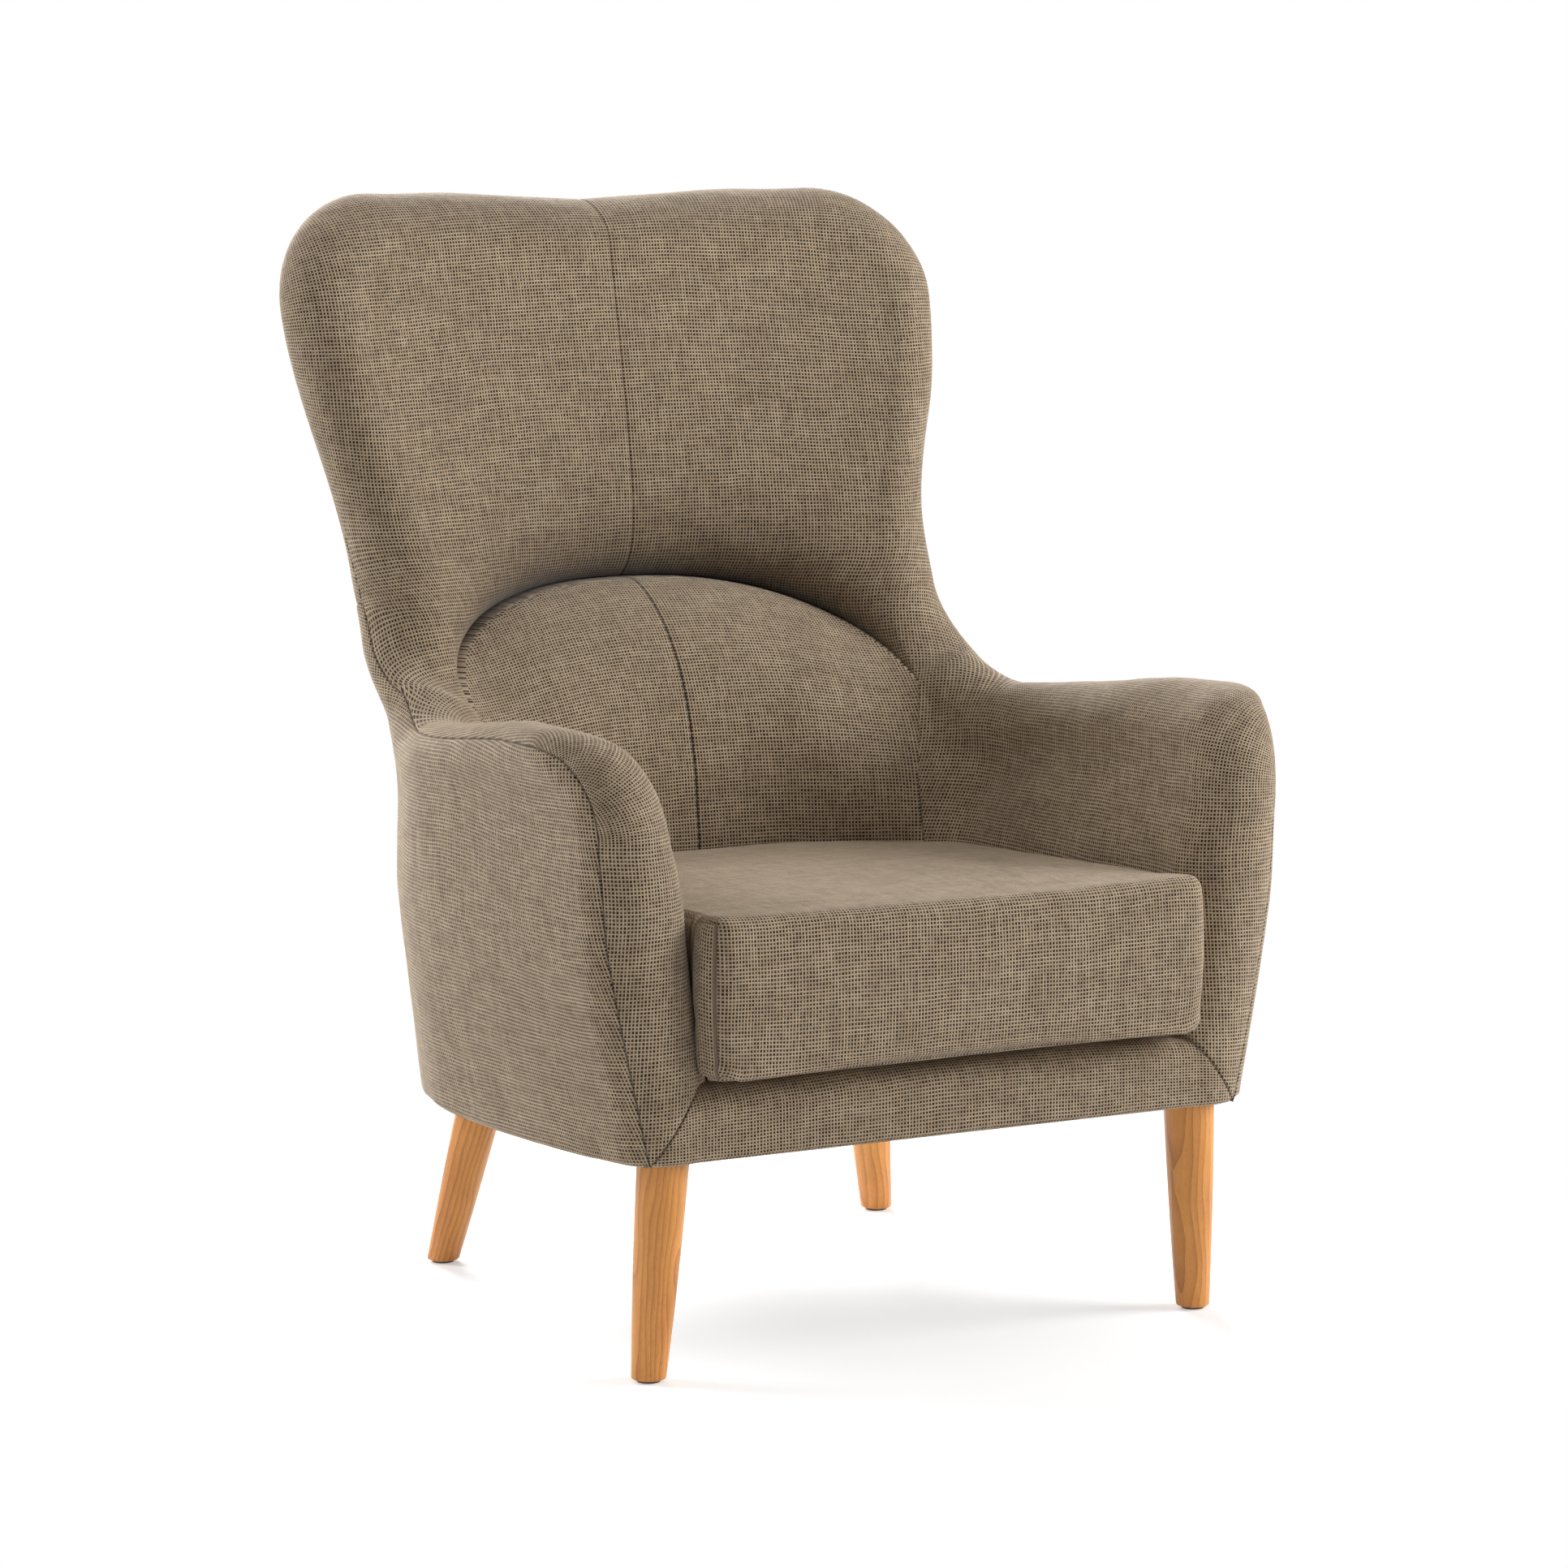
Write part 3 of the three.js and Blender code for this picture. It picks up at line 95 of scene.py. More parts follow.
def noise(tree, vector, scale, detail=2.0, roughness=0.5):
    node = tree.nodes.new("ShaderNodeTexNoise")
    plug(tree, node.inputs["Vector"], vector)
    node.inputs["Scale"].default_value = scale
    node.inputs["Detail"].default_value = detail
    node.inputs["Roughness"].default_value = roughness
    return node.outputs["Fac"]


def between(tree, value, low, high, out_low=0.0, out_high=1.0, smooth_ends=True):
    """Value carried from one range to another, held at both ends."""
    node = tree.nodes.new("ShaderNodeMapRange")
    node.interpolation_type = "SMOOTHSTEP" if smooth_ends else "LINEAR"
    labels = ("Value", "From Min", "From Max", "To Min", "To Max")
    for label, item in zip(labels, (value, low, high, out_low, out_high)):
        plug(tree, node.inputs[label], item)
    return node.outputs["Result"]


def blended(tree, share, a, b, how="MIX"):
    node = tree.nodes.new("ShaderNodeMix")
    node.data_type = "RGBA"
    node.blend_type = how
    plug(tree, node.inputs[0], share)
    plug(tree, node.inputs[6], a)
    plug(tree, node.inputs[7], b)
    return node.outputs[2]


def srgb(red, green, blue):
    """Colour of a swatch as read off a colour card, 0 to 255, for a shader socket."""
    parts = [channel / 255 for channel in (red, green, blue)]
    return tuple(p / 12.92 if p <= 0.04045 else ((p + 0.055) / 1.055) ** 2.4 for p in parts) + (1.0,)


def finish_of(name, roughness=0.5, **constants):
    """New material with a Principled shader; constants go on the shader's own sockets."""
    made = bpy.data.materials.new(name)
    made.use_nodes = True
    shader = made.node_tree.nodes["Principled BSDF"]
    shader.inputs["Roughness"].default_value = roughness
    for label, value in constants.items():
        shader.inputs[label.replace("_", " ")].default_value = value
    return made, made.node_tree, shader


def object_place(tree):
    """Place of a point on its own object, in metres."""
    return tree.nodes.new("ShaderNodeTexCoord").outputs["Object"]


def place_read(tree, name):
    node = tree.nodes.new("ShaderNodeAttribute")
    node.attribute_name = name
    return node.outputs["Vector"]


def raised(tree, height, strength, distance, shader):
    """Bump from a height, into the shader's normal."""
    node = tree.nodes.new("ShaderNodeBump")
    node.inputs["Strength"].default_value = strength
    node.inputs["Distance"].default_value = distance
    plug(tree, node.inputs["Height"], height)
    link(tree, node.outputs["Normal"], shader.inputs["Normal"])


# Straight wood grain along a board: growth lines, pores and slow changes of tone, in millimetres.
grain, grain_in, grain_out = new_group(
    "straight_grain",
    [("Place", "v", None), ("Pale", "c", None), ("Dark", "c", None), ("Line Width", "f", 5.0),
     ("Pores", "f", 0.5)],
    [("Color", "c"), ("Roughness", "f"), ("Height", "f")],
)
sway = noise(grain, scaled(grain, grain_in.outputs["Place"], (0.02, 0.02, 0.006)), 1.0, 2.0)
split = grain.nodes.new("ShaderNodeSeparateXYZ")
link(grain, grain_in.outputs["Place"], split.inputs[0])
across = sums(grain, "ADD", split.outputs["X"], sums(grain, "MULTIPLY", split.outputs["Y"], 0.35))
ring_number = sums(grain, "DIVIDE", across, grain_in.outputs["Line Width"])
ring_place = sums(grain, "ADD", ring_number, sums(grain, "MULTIPLY", sway, 5.0))
ring_saw = sums(grain, "FRACT", ring_place)
late_wood = sums(grain, "POWER", ring_saw, 2.4)
fibre = noise(grain, scaled(grain, grain_in.outputs["Place"], (1.6, 1.6, 0.035)), 1.0, 3.0, 0.6)
speckle = noise(grain, scaled(grain, grain_in.outputs["Place"], (4.0, 4.0, 0.12)), 1.0, 2.0)
pore = between(grain, speckle, 0.58, 0.72)
tone = noise(grain, scaled(grain, grain_in.outputs["Place"], (0.03, 0.03, 0.01)), 1.0, 1.0)
darkness = sums(grain, "ADD", sums(grain, "MULTIPLY", late_wood, 0.45), sums(grain, "MULTIPLY", fibre, 0.55))
darkness = sums(grain, "ADD", darkness, sums(grain, "MULTIPLY_ADD", tone, 0.9, -0.56), clamp=True)
wood = blended(grain, darkness, grain_in.outputs["Pale"], grain_in.outputs["Dark"])
pored = sums(grain, "MULTIPLY", sums(grain, "MULTIPLY", pore, grain_in.outputs["Pores"]), 0.5)
wood = blended(grain, pored, wood, blended(grain, 0.6, grain_in.outputs["Dark"], srgb(70, 38, 16)))
link(grain, wood, grain_out.inputs["Color"])
link(grain, sums(grain, "MULTIPLY_ADD", fibre, 0.18, 0.34), grain_out.inputs["Roughness"])
link(grain, sums(grain, "SUBTRACT", sums(grain, "MULTIPLY", fibre, 0.4), pore), grain_out.inputs["Height"])


def grained(name, place_name, pale, dark, line_width, pores, bump, rough=0.0):
    """Wood finish of one board or leg, read from the place painted on its points."""
    made, tree, shader = finish_of(name)
    node = tree.nodes.new("ShaderNodeGroup")
    node.node_tree = grain
    if place_name:
        link(tree, place_read(tree, place_name), node.inputs["Place"])
    else:
        where = object_place(tree)
        turned = tree.nodes.new("ShaderNodeMapping")
        turned.inputs["Scale"].default_value = (1000.0, 1000.0, 1000.0)
        turned.inputs["Rotation"].default_value = (0.0, math.pi / 2, 0.0)
        link(tree, where, turned.inputs["Vector"])
        link(tree, turned.outputs["Vector"], node.inputs["Place"])
    for label, value in (("Pale", pale), ("Dark", dark), ("Line Width", line_width), ("Pores", pores)):
        node.inputs[label].default_value = value
    link(tree, node.outputs["Color"], shader.inputs["Base Color"])
    link(tree, sums(tree, "ADD", node.outputs["Roughness"], rough), shader.inputs["Roughness"])
    raised(tree, node.outputs["Height"], bump, 0.0004, shader)
    return made


def soft_step(share):
    share = np.clip(share, 0.0, 1.0)
    return share * share * (3 - 2 * share)


def mixed(a, b, share):
    return a + (b - a) * share


def paint(mesh, name, values):
    """Keeps a vector on every point of a mesh, for its material to read."""
    layer = mesh.attributes.new(name, "FLOAT_VECTOR", "POINT")
    layer.data.foreach_set("vector", np.ascontiguousarray(values, dtype=np.float32).ravel())


def piece_from(name, points, faces, finish, painted, weld=0.00001):
    """New smooth piece from points in millimetres; welded, with its normals turned out."""
    mesh = bpy.data.meshes.new(name)
    mesh.from_pydata((np.asarray(points) * MM).tolist(), [], [list(map(int, face)) for face in faces])
    for label, values in painted.items():
        paint(mesh, label, values)
    work = bmesh.new()
    work.from_mesh(mesh)
    bmesh.ops.remove_doubles(work, verts=work.verts, dist=weld)
    bmesh.ops.dissolve_degenerate(work, edges=work.edges, dist=weld)
    bmesh.ops.recalc_face_normals(work, faces=work.faces)
    work.to_mesh(mesh)
    work.free()
    mesh.polygons.foreach_set("use_smooth", [True] * len(mesh.polygons))
    mesh.materials.append(finish)
    made = bpy.data.objects.new(name, mesh)
    bpy.context.scene.collection.objects.link(made)
    return made


oak = grained("oiled_oak", "grain", srgb(250, 173, 85), srgb(166, 82, 27), 6.5, 1.0, 0.35)
oak.node_tree.nodes["Principled BSDF"].inputs["Coat Weight"].default_value = 0.12
oak.node_tree.nodes["Principled BSDF"].inputs["Coat Roughness"].default_value = 0.35


def leg_profile():
    """Radius and height from the foot's middle, up the side, over the top and down the bolt's bore."""
    ease = [(LEG_FOOT_RADIUS - FOOT_EASE * (1 - math.sin(t)), LEG_LOW + FOOT_EASE * (1 - math.cos(t)), 0)
            for t in np.linspace(0, math.pi / 2, 7)]
    sides = []
    for share in np.linspace(0, 1, 42)[1:-1]:
        radius = mixed(LEG_FOOT_RADIUS, LEG_TOP_RADIUS, share) + LEG_SWELL * math.sin(math.pi * share)
        sides.append((radius, mixed(LEG_LOW + FOOT_EASE, LEG_HIGH - 0.8, share), 0))
    rim = [(LEG_TOP_RADIUS, LEG_HIGH - 0.8, 0), (LEG_TOP_RADIUS - 0.3, LEG_HIGH - 0.2, 0),
           (LEG_TOP_RADIUS - 1.0, LEG_HIGH, 0)]
    bore_end = LEG_HIGH - BORE_DEPTH
    bore = [(BORE_RADIUS, LEG_HIGH, 1), (BORE_RADIUS, bore_end, 1), (0.0, bore_end - 1.5, 1)]
    return [(0.0, LEG_LOW, 0), (8.0, LEG_LOW, 0)] + ease + sides + rim + [(14.0, LEG_HIGH, 1)] + bore


def turned_leg(name, foot, lean, side, sides=56):
    """One leg, leaned by moving each slice sideways so that foot and top stay level."""
    profile = leg_profile()
    points, grain_places, faces = [], [], []
    for radius, z, upright in profile:
        share = 1.0 if upright else (z - LEG_LOW) / (LEG_HIGH - LEG_LOW)
        for k in range(sides):
            angle = 2 * math.pi * k / sides
            x, y = radius * math.cos(angle), radius * math.sin(angle)
            leaned_x, leaned_y = foot[0] + lean[0] * share + x, foot[1] + lean[1] * share + y
            points.append((side * leaned_x, leaned_y + REAR_SHIFT, z))
            grain_places.append((x + foot[0] * 1.7, y + foot[1] * 0.9 + side * 31.0, z + foot[1]))
    for i in range(len(profile) - 1):
        for k in range(sides):
            a, b = i * sides + k, i * sides + (k + 1) % sides
            faces.append((a, b, b + sides, a + sides))
    return piece_from(name, points, faces, oak, {"grain": grain_places}, 0.000002)


for end, (foot_x, foot_y, lean_x, lean_y) in LEGS.items():
    for hand, side in (("right", 1), ("left", -1)):
        leg = turned_leg(f"{end}_turned_leg_{hand}", (foot_x, foot_y), (lean_x, lean_y), side)
        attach(leg, "chair")
        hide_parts(f"{end}_leg_{hand}")

# Glides, bolts and nuts
# A moulded nylon glide under each foot, and a zinc-plated bolt with a tee nut in the top of each leg.
# The nylon is finely pitted and scuffed underneath; the plating is dull with faint streaks.
nylon, tree, shader = finish_of("glide_nylon", 0.55)
where = object_place(tree)
pits = noise(tree, where, 900.0, 3.0)
scuffs = noise(tree, scaled(tree, where, (60.0, 400.0, 60.0)), 1.0, 2.0)
nylon_tone = blended(tree, between(tree, scuffs, 0.45, 0.7), srgb(106, 102, 96), srgb(134, 130, 123))
link(tree, nylon_tone, shader.inputs["Base Color"])
link(tree, between(tree, pits, 0.3, 0.7, 0.45, 0.7), shader.inputs["Roughness"])
raised(tree, pits, 0.3, 0.0002, shader)

zinc, tree, shader = finish_of("zinc_plate", 0.35, Metallic=1.0)
where = object_place(tree)
streaks = noise(tree, scaled(tree, where, (500.0, 500.0, 60.0)), 1.0, 3.0)
bloom = noise(tree, where, 120.0, 2.0)
link(tree, blended(tree, bloom, srgb(150, 152, 155), srgb(186, 187, 186)), shader.inputs["Base Color"])
link(tree, between(tree, streaks, 0.3, 0.7, 0.28, 0.5), shader.inputs["Roughness"])
raised(tree, streaks, 0.15, 0.0002, shader)


def dress(finish, *names):
    """Gives a node of the frame its finish, with its shape left as it is."""
    for name in names:
        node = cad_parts[name]
        for spot in node.material_slots:
            spot.material = finish


HANDS = ("right", "left")
dress(nylon, *[f"{end}_glide_{hand}" for end in LEGS for hand in HANDS])
dress(zinc, *[f"{end}_leg_{part}_{hand}" for end in LEGS for part in ("bolt", "nut") for hand in HANDS])

# Timber frame
# Beech rails and uprights, ply arm panels and a ply base ring, glued and screwed, left unfinished under
# the upholstery. Dry sawn wood, pale, with a little sawing fuzz.
beech = grained("sawn_beech", None, srgb(219, 184, 143), srgb(190, 148, 104), 9.0, 0.25, 0.5, 0.3)
birch_ply = grained("birch_ply", None, srgb(224, 199, 160), srgb(203, 172, 128), 22.0, 0.15, 0.4, 0.3)
dress(beech, "front_rail", "rear_rail", "side_rail_right", "side_rail_left", "lumbar_rail", "neck_rail",
      "top_rail", "back_upright_right", "back_upright_left")
dress(birch_ply, "arm_panel_right", "arm_panel_left", "base_board")

# Springs and webbing
# Five zigzag springs of drawn wire run from rail to rail under the seat, three elastic webs across the back.
# The wire is dark and oiled; the webs are woven rubber and polyester with lines along their length.
wire, tree, shader = finish_of("spring_wire", 0.4, Metallic=0.9)
where = object_place(tree)
drawn = noise(tree, scaled(tree, where, (900.0, 90.0, 900.0)), 1.0, 2.0)
link(tree, blended(tree, drawn, srgb(92, 93, 95), srgb(134, 134, 132)), shader.inputs["Base Color"])
link(tree, between(tree, drawn, 0.3, 0.7, 0.3, 0.55), shader.inputs["Roughness"])
raised(tree, drawn, 0.2, 0.0002, shader)
dress(wire, *[f"seat_spring_{k}" for k in range(1, 6)])

webbing, tree, shader = finish_of("elastic_webbing", 0.85)
where = object_place(tree)
parts = tree.nodes.new("ShaderNodeSeparateXYZ")
link(tree, where, parts.inputs[0])
cords = sums(tree, "SINE", sums(tree, "MULTIPLY", parts.outputs["Z"], 2100.0))
ribs = sums(tree, "SINE", sums(tree, "MULTIPLY", parts.outputs["X"], 1500.0))
relief = sums(tree, "MULTIPLY_ADD", ribs, 0.35, cords)
stripe = between(tree, sums(tree, "SINE", sums(tree, "MULTIPLY", parts.outputs["Z"], 260.0)), 0.82, 0.9)
web_tone = blended(tree, between(tree, relief, -1.2, 1.2), srgb(46, 43, 40), srgb(92, 86, 78))
link(tree, blended(tree, stripe, web_tone, srgb(150, 62, 44)), shader.inputs["Base Color"])
raised(tree, relief, 0.4, 0.0005, shader)
dress(webbing, "back_webbing_1", "back_webbing_2", "back_webbing_3")

# The padded wall
# Arms and back are one padded wall that stands round the seat. A place on it is a length along the wall's
# middle line from the centre of the back, and a height; padding lies in front of it and wadding behind.
FLOOR_TO_BODY = 209.0
WIDTH_LEVELS = np.array([209.0, 400, 560, 628, 700, 955, 1076])
HALF_WIDTHS = np.array([328.0, 343, 345, 407, 448, 569, 600])
WIDEST_Y, REAR_Y, FRONT_EDGE_Y = 250.0, 578.0, -5.0
REAR_LEAN = math.tan(math.radians(13.2))
PLAN_POWER = 2.2
ROLL = 45.0
SEAM_TURN = math.radians(142)
CREST, SADDLE, FRONT_ARC = 567.0, 530.0, 57.0
CREASE_TOP, LUMBAR_HALF, BACK_TOP = 678.0, 380.0, 1020.0
SMALL_STEP = 0.35
knot_after, knot_before = np.minimum(np.arange(7) + 1, 6), np.maximum(np.arange(7) - 1, 0)
width_rises = HALF_WIDTHS[knot_after] - HALF_WIDTHS[knot_before]
WIDTH_SLOPES = width_rises / (WIDTH_LEVELS[knot_after] - WIDTH_LEVELS[knot_before])


def half_width(z):
    """Half width of the wall's middle line at a height."""
    z = np.clip(z, WIDTH_LEVELS[0], WIDTH_LEVELS[-1])
    k = np.clip(np.searchsorted(WIDTH_LEVELS, z) - 1, 0, 5)
    run = WIDTH_LEVELS[k + 1] - WIDTH_LEVELS[k]
    t = (z - WIDTH_LEVELS[k]) / run
    eased = (2 * t**3 - 3 * t**2 + 1) * HALF_WIDTHS[k] + (3 * t**2 - 2 * t**3) * HALF_WIDTHS[k + 1]
    return eased + (t**3 - 2 * t**2 + t) * run * WIDTH_SLOPES[k] + (t**3 - t**2) * run * WIDTH_SLOPES[k + 1]


def rear_depth(z):
    return REAR_Y - ROLL + REAR_LEAN * (z - FLOOR_TO_BODY) - WIDEST_Y


PLAN_TURNS = np.linspace(0, math.pi / 2, 513)
PLAN_LEVELS = np.linspace(195.0, 1090.0, 300)
plan_x = half_width(PLAN_LEVELS)[:, None] * np.sin(PLAN_TURNS) ** (2 / PLAN_POWER)
plan_y = rear_depth(PLAN_LEVELS)[:, None] * np.clip(np.cos(PLAN_TURNS), 0, 1) ** (2 / PLAN_POWER)
plan_runs = np.cumsum(np.hypot(np.diff(plan_x, axis=1), np.diff(plan_y, axis=1)), axis=1)
plan_runs = np.concatenate([np.zeros((len(PLAN_LEVELS), 1)), plan_runs], axis=1)
PLAN_SHARES = np.linspace(0, 1, 601)
turn_table = np.array([np.interp(PLAN_SHARES, row / row[-1], PLAN_TURNS) for row in plan_runs])


def back_length(z):
    """Length along the wall from the centre of the back to its widest point."""
    return np.interp(z, PLAN_LEVELS, plan_runs[:, -1])


def looked_up(table, z, share):
    level = np.clip((z - PLAN_LEVELS[0]) / (PLAN_LEVELS[1] - PLAN_LEVELS[0]), 0, len(PLAN_LEVELS) - 1.001)
    along = np.clip(share, 0, 1) * (len(PLAN_SHARES) - 1.001)
    i, j = level.astype(int), along.astype(int)
    u, v = level - i, along - j
    low = table[i, j] * (1 - v) + table[i, j + 1] * v
    high = table[i + 1, j] * (1 - v) + table[i + 1, j + 1] * v
    return low * (1 - u) + high * u


def wall_middle(place, z):
    """Point of the wall's middle surface and the way that faces out of the chair there."""
    place, z = np.broadcast_arrays(np.asarray(place, float), np.asarray(z, float))
    run = np.abs(place)
    length = back_length(z)
    width, depth = half_width(z), rear_depth(z)
    turn = looked_up(turn_table, z, run / length)
    share = 2 / PLAN_POWER
    x_back = width * np.sin(turn) ** share
    y_back = WIDEST_Y + depth * np.clip(np.cos(turn), 0, 1) ** share
    n_x = (x_back / width) ** (PLAN_POWER - 1) / width
    n_y = (np.clip((y_back - WIDEST_Y) / depth, 0, None)) ** (PLAN_POWER - 1) / depth
    tuck = mixed(34.0, 5.0, np.clip((z - FLOOR_TO_BODY) / 291.0, 0, 1))
    y_side = WIDEST_Y - (run - length)
    forward = (run - length) / (WIDEST_Y - FRONT_EDGE_Y)
    x_side = width - tuck * forward**2
    side_slope = -2 * tuck * forward / (WIDEST_Y - FRONT_EDGE_Y)
    on_back = run < length
    x = np.where(on_back, x_back, x_side)
    y = np.where(on_back, y_back, y_side)
    normal = np.stack([np.where(on_back, n_x, 1.0), np.where(on_back, n_y, side_slope)], -1)
    normal /= np.linalg.norm(normal, axis=-1, keepdims=True)
    hand = np.where(place < 0, -1.0, 1.0)
    point = np.stack([hand * x, y, z], -1)
    return point, np.stack([hand * normal[..., 0], normal[..., 1], np.zeros_like(x)], -1)


def place_at_y(y, z):
    return back_length(z) + WIDEST_Y - y


def place_at_x(x, z):
    """Length along the wall at which the back has a given X."""
    x, z = np.broadcast_arrays(np.asarray(x, float), np.asarray(z, float))
    turn = np.arcsin(np.clip(x / half_width(z), 0, 1) ** (PLAN_POWER / 2))
    out = np.empty(x.shape)
    for spot in np.ndindex(x.shape):
        level = (z[spot] - PLAN_LEVELS[0]) / (PLAN_LEVELS[1] - PLAN_LEVELS[0])
        k = int(min(max(level, 0), len(PLAN_LEVELS) - 2))
        low, high = (np.interp(turn[spot], PLAN_TURNS, plan_runs[k + step]) for step in (0, 1))
        out[spot] = mixed(low, high, level - k)
    return out


# The edge line is the middle of the rolled edge: up the arm's front, along its crest, through the saddle at
# the neck, up the wing, round the shoulder and along the top to the centre.
neck_place = float(place_at_x(328.0 - ROLL, 665.0))
SADDLE_RADIUS = 135.0
saddle_place = neck_place + SADDLE_RADIUS
saddle_y = WIDEST_Y + float(back_length(SADDLE)) - saddle_place
fine = np.linspace(0, 1, 121)
quarter = fine * math.pi / 2
front_z = mixed(FLOOR_TO_BODY, CREST - FRONT_ARC, fine)
bend_y = FRONT_EDGE_Y + FRONT_ARC * (1 - np.cos(quarter))
bend_z = CREST - FRONT_ARC * (1 - np.sin(quarter))
arm_y = mixed(FRONT_EDGE_Y + FRONT_ARC, saddle_y, fine)
arm_z = SADDLE + (CREST - SADDLE) * (1 - soft_step(fine) * 0.5 - fine * 0.5)
saddle_z = SADDLE + SADDLE_RADIUS * (1 - np.cos(quarter))
wing_z = mixed(SADDLE + SADDLE_RADIUS, 955.0, fine)
wing_x = mixed(328.0, 370.0, soft_step((wing_z - 700) / 255)) - ROLL
shoulder_x, shoulder_z = 250 + 75 * np.cos(quarter), 955 + 75 * np.sin(quarter)
top_x = 250 * (1 - fine)
top_end_z = mixed(1031.0, 1030.0, soft_step((top_x - 185) / 65))
top_dip_z = 1031 - 11 * soft_step(1 - top_x / 185)
top_z = np.where(top_x > 185, top_end_z, top_dip_z)
stretches = [
    (place_at_y(FRONT_EDGE_Y, front_z), front_z),
    (place_at_y(bend_y, bend_z), bend_z),
    (place_at_y(arm_y, arm_z), arm_z),
    (saddle_place - SADDLE_RADIUS * np.sin(quarter), saddle_z),
    (place_at_x(wing_x, wing_z), wing_z),
    (place_at_x(shoulder_x, shoulder_z), shoulder_z),
    (place_at_x(top_x, top_z), top_z),
]
edge_place = np.concatenate([stretches[0][0][:1]] + [place[1:] for place, _ in stretches])
edge_z = np.concatenate([stretches[0][1][:1]] + [z[1:] for _, z in stretches])
edge_point = wall_middle(edge_place, edge_z)[0]
edge_run = np.concatenate([[0], np.cumsum(np.linalg.norm(np.diff(edge_point, axis=0), axis=1))])
tangent = np.gradient(edge_point, edge_run, axis=0)
tangent[0], tangent[-1] = (0, 0, 1), (-1, 0, 0)
along_wall = wall_middle(edge_place + SMALL_STEP, edge_z)[0] - edge_point
up_wall = wall_middle(edge_place, edge_z + SMALL_STEP)[0] - edge_point
edge_outward = np.cross(np.cross(along_wall, up_wall), tangent)
edge_outward /= np.linalg.norm(edge_outward, axis=1, keepdims=True)
rear_index, meeting_index = 4 * 120, 3 * 120 + 60
inward = np.where(np.arange(len(edge_run))[:, None] > rear_index, [[-1.0, 0, -1]], [[0.0, 1, -1]])
edge_outward[(edge_outward * inward).sum(1) > 0] *= -1
for _ in range(3):
    edge_outward[1:-1] = (edge_outward[:-2] + edge_outward[1:-1] + edge_outward[2:]) / 3
edge_outward /= np.linalg.norm(edge_outward, axis=1, keepdims=True)
run_meeting, run_rear, run_wing, run_top = (edge_run[k] for k in (meeting_index, rear_index, 5 * 120, -1))
meeting_place, meeting_z = edge_place[meeting_index], edge_z[meeting_index]


def on_edge(run):
    """Place, height and outward way of the edge line, a run along it from the foot of the arm's front."""
    run = np.asarray(run, float)
    outward = np.stack([np.interp(run, edge_run, edge_outward[:, k]) for k in range(3)], -1)
    return np.interp(run, edge_run, edge_place), np.interp(run, edge_run, edge_z), outward


def seam_turn(run):
    """How far round the roll the outer seam lies: low outside the arm's front, almost on top at the neck."""
    arm_top = edge_run[2 * 120]
    knots = [0, arm_top, (arm_top + run_meeting) / 2, run_meeting - 60, run_meeting + 30,
             run_rear + 10, run_rear + 130, run_top]
    return np.radians(np.interp(run, knots, [142, 142, 133, 118, 112, 122, 142, 142]))


def arch_height(place):
    """Height of the crease between the lumbar roll and the upper back."""
    return CREASE_TOP - (CREASE_TOP - meeting_z) * (np.abs(place) / meeting_place) ** 2.4


def back_padding(place, z, part):
    """Padding in front of the back: the upper back's, the lumbar roll's, or whichever lies at a height."""
    share = np.abs(place) / meeting_place
    base = 33 + 12 * share**2
    drop = arch_height(place) - z
    above = np.maximum(-drop, 0)
    middle = np.clip(1 - share**2, 0, None)
    crown = base + 40 * (1 - np.exp(-above / 100)) * middle
    overhang = (6 + 22 * share**2) * np.clip(1 - share**3, 0, None) * above / 62 * np.exp(1 - above / 62)
    crown = crown + overhang - 21 * np.exp(-above / 20) * middle**0.5
    low = np.maximum(drop, 0)
    rise = np.sin(math.pi / 2 * np.minimum(1, low / 150) ** (0.6 + 0.45 * np.minimum(1, share) ** 4))
    ends = 1 - 0.5 * soft_step((share - 0.55) / 0.45) * np.exp(-low / 90)
    lumbar = base + 101 * (1 - 0.4 * (place / LUMBAR_HALF) ** 2) * rise * ends
    lumbar = lumbar - 0.12 * np.clip(np.minimum(low, 258) - 180, 0, None)
    lumbar = lumbar - REAR_LEAN * np.maximum(0, low - 258)
    if part == "upper":
        return crown
    return lumbar if part == "lumbar" else np.where(drop > 0, lumbar, crown)


def padding_at(place, z, part):
    """Padding from the wall's middle surface to the skin inside the chair."""
    point, _ = wall_middle(place, z)
    along = (point[..., 1] - FRONT_EDGE_Y) / (WIDEST_Y - FRONT_EDGE_Y)
    crest = mixed(CREST, SADDLE, np.clip((point[..., 1] - FRONT_EDGE_Y) / (saddle_y - FRONT_EDGE_Y), 0, 1))
    arm = ROLL + soft_step((crest - 10 - z) / 130) * mixed(18.0, 49.0, along)
    return mixed(back_padding(place, z, part), arm, soft_step((np.abs(place) - 330) / 170))


